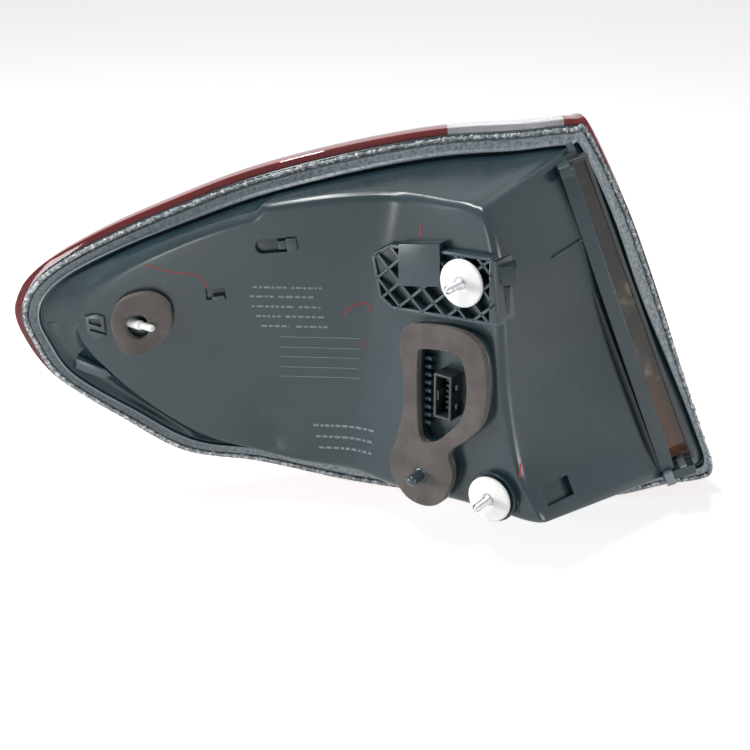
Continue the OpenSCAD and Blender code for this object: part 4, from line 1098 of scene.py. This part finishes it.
waxes = [wax("arc", [(-65.4, -35.8), (-65, -33.5), (-63.3, -30.8), (-60.6, -29), (-57, -27.5),
                     (-53.5, -26.8), (-51, -27.4), (-50, -29.5), (-51.7, -32.5)]),
         wax("line", [(-183.4, -4.4), (-174, -7.6), (-165.3, -9.8), (-158, -10.2), (-151.7, -11.5),
                      (-149.5, -14.5), (-146.8, -19.2)], 0.7),
         wax("tick_a", [(-21.9, 27.0), (-21.6, 23), (-21.9, 19.3)], 0.7),
         wax("tick_b", [(-54.7, -49.9), (-54.4, -53.5), (-54.7, -57.3)], 0.8),
         wax("tick_c", [(36.6, -103.5), (36.4, -108), (36.7, -112.9)], 1.0)]
wax_o = join("wax_marks", waxes)
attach(wax_o, "root")

# ---------------------------------------------------------------- CAD nodes that stay, with their materials
KEEP = {"inboard_window": M_BROWN, "connector_contacts": M_CHIP, "bezel": M_CHROME,
        "carrier_frame": M_BLACK, "carrier_screws": M_SCREW, "lamp_board": M_BOARD, "turn_leds": M_LED_A,
        "reverse_leds": M_LED_W, "heat_sink": M_ALU, "driver_parts": M_CHIP, "turn_reflector": M_CHROME,
        "reverse_reflector": M_CHROME, "light_guide_upper": M_GUIDE, "light_guide_lower": M_GUIDE,
        "guide_led_holders": M_BLACK, "brake_board": M_BOARD, "brake_leds": M_LED_W, "brake_cover": M_COVER,
        "brake_screws": M_SCREW, "reflex_reflector": M_REFLEX, "breather_cap": M_BLACK,
        "inner_harness": M_BLACK}
for name, mat in KEEP.items():
    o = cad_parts[name]
    if not o.data.materials:
        o.data.materials.append(mat)
    for i in range(len(o.data.materials)):
        o.data.materials[i] = mat

# ---------------------------------------------------------------- floor, backdrop, light
FLOOR_Z, FLOOR_REACH, FLOOR_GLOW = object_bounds()[0][2], 6, 0.75
WORLD_LIGHT, WORLD_SEEN = 0.08, 1.0


def background_rays(nt):
    """1 for the rays that show the background itself: camera, transmission and glossy rays."""
    lp = node(nt, "ShaderNodeLightPath")
    out = lp.outputs["Is Camera Ray"]
    for kind in ("Is Transmission Ray", "Is Glossy Ray"):
        either = node(nt, "ShaderNodeMath", operation="MAXIMUM")
        nt.links.new(out, either.inputs[0])
        nt.links.new(lp.outputs[kind], either.inputs[1])
        out = either.outputs[0]
    return out


def build_floor(nt, b):
    out = nt.nodes["Material Output"]
    b.inputs["Base Color"].default_value = (0.9, 0.9, 0.9, 1)
    b.inputs["Roughness"].default_value = 0.9
    b.inputs["Specular IOR Level"].default_value = 0.0
    em = node(nt, "ShaderNodeEmission")
    em.inputs["Color"].default_value = (1, 1, 1, 1)
    mul = node(nt, "ShaderNodeMath", operation="MULTIPLY")
    mul.inputs[1].default_value = FLOOR_GLOW
    nt.links.new(background_rays(nt), mul.inputs[0])
    nt.links.new(mul.outputs[0], em.inputs["Strength"])
    addn = node(nt, "ShaderNodeAddShader")
    nt.links.new(b.outputs[0], addn.inputs[0])
    nt.links.new(em.outputs[0], addn.inputs[1])
    nt.links.new(addn.outputs[0], out.inputs["Surface"])


M_FLOOR = material("floor_white", build_floor)
floor_loop = box_loop(-FLOOR_REACH, -FLOOR_REACH, FLOOR_REACH, FLOOR_REACH)
fl = add("floor", [(x, y, FLOOR_Z) for x, y in floor_loop], [(0, 1, 2, 3)], M_FLOOR, 0)

world = bpy.data.worlds.new("world")
scene.world = world
world.use_nodes = True
wn = world.node_tree
bg = wn.nodes["Background"]
bg.inputs["Color"].default_value = (0.95, 0.97, 1.0, 1)
strength = node(wn, "ShaderNodeMapRange")
strength.inputs["To Min"].default_value = WORLD_LIGHT
strength.inputs["To Max"].default_value = WORLD_SEEN
wn.links.new(background_rays(wn), strength.inputs["Value"])
wn.links.new(strength.outputs["Result"], bg.inputs["Strength"])
LAMP_MIDDLE = Vector((-0.03, 0.02, -0.05))


def chord_light(name, direction, dist, size, power):
    """An area light dist metres from the lamp's middle in the chord-frame direction (a, b, z)."""
    a, b, z = Vector(direction).normalized()
    d = bpy.data.lights.new(name, "AREA")
    d.shape, d.size, d.size_y, d.energy = "RECTANGLE", size[0], size[1], power
    o = bpy.data.objects.new(name, d)
    scene.collection.objects.link(o)
    o.location = LAMP_MIDDLE + Vector((a * CC - b * CS, a * CS + b * CC, z)) * dist
    o.rotation_euler = (LAMP_MIDDLE - o.location).to_track_quat("-Z", "Y").to_euler()


chord_light("key", (-1.0, -0.02, 0.05), 1.5, (0.9, 0.4), 18)
chord_light("fill", (0.82, -0.58, 0.02), 0.9, (0.4, 0.2), 2.4)
chord_light("low", (-0.62, -0.76, -0.1), 0.5, (0.06, 0.12), 0.3)
chord_light("strip", (-0.32, 0.0, 0.95), 1.1, (1.0, 0.1), 12)
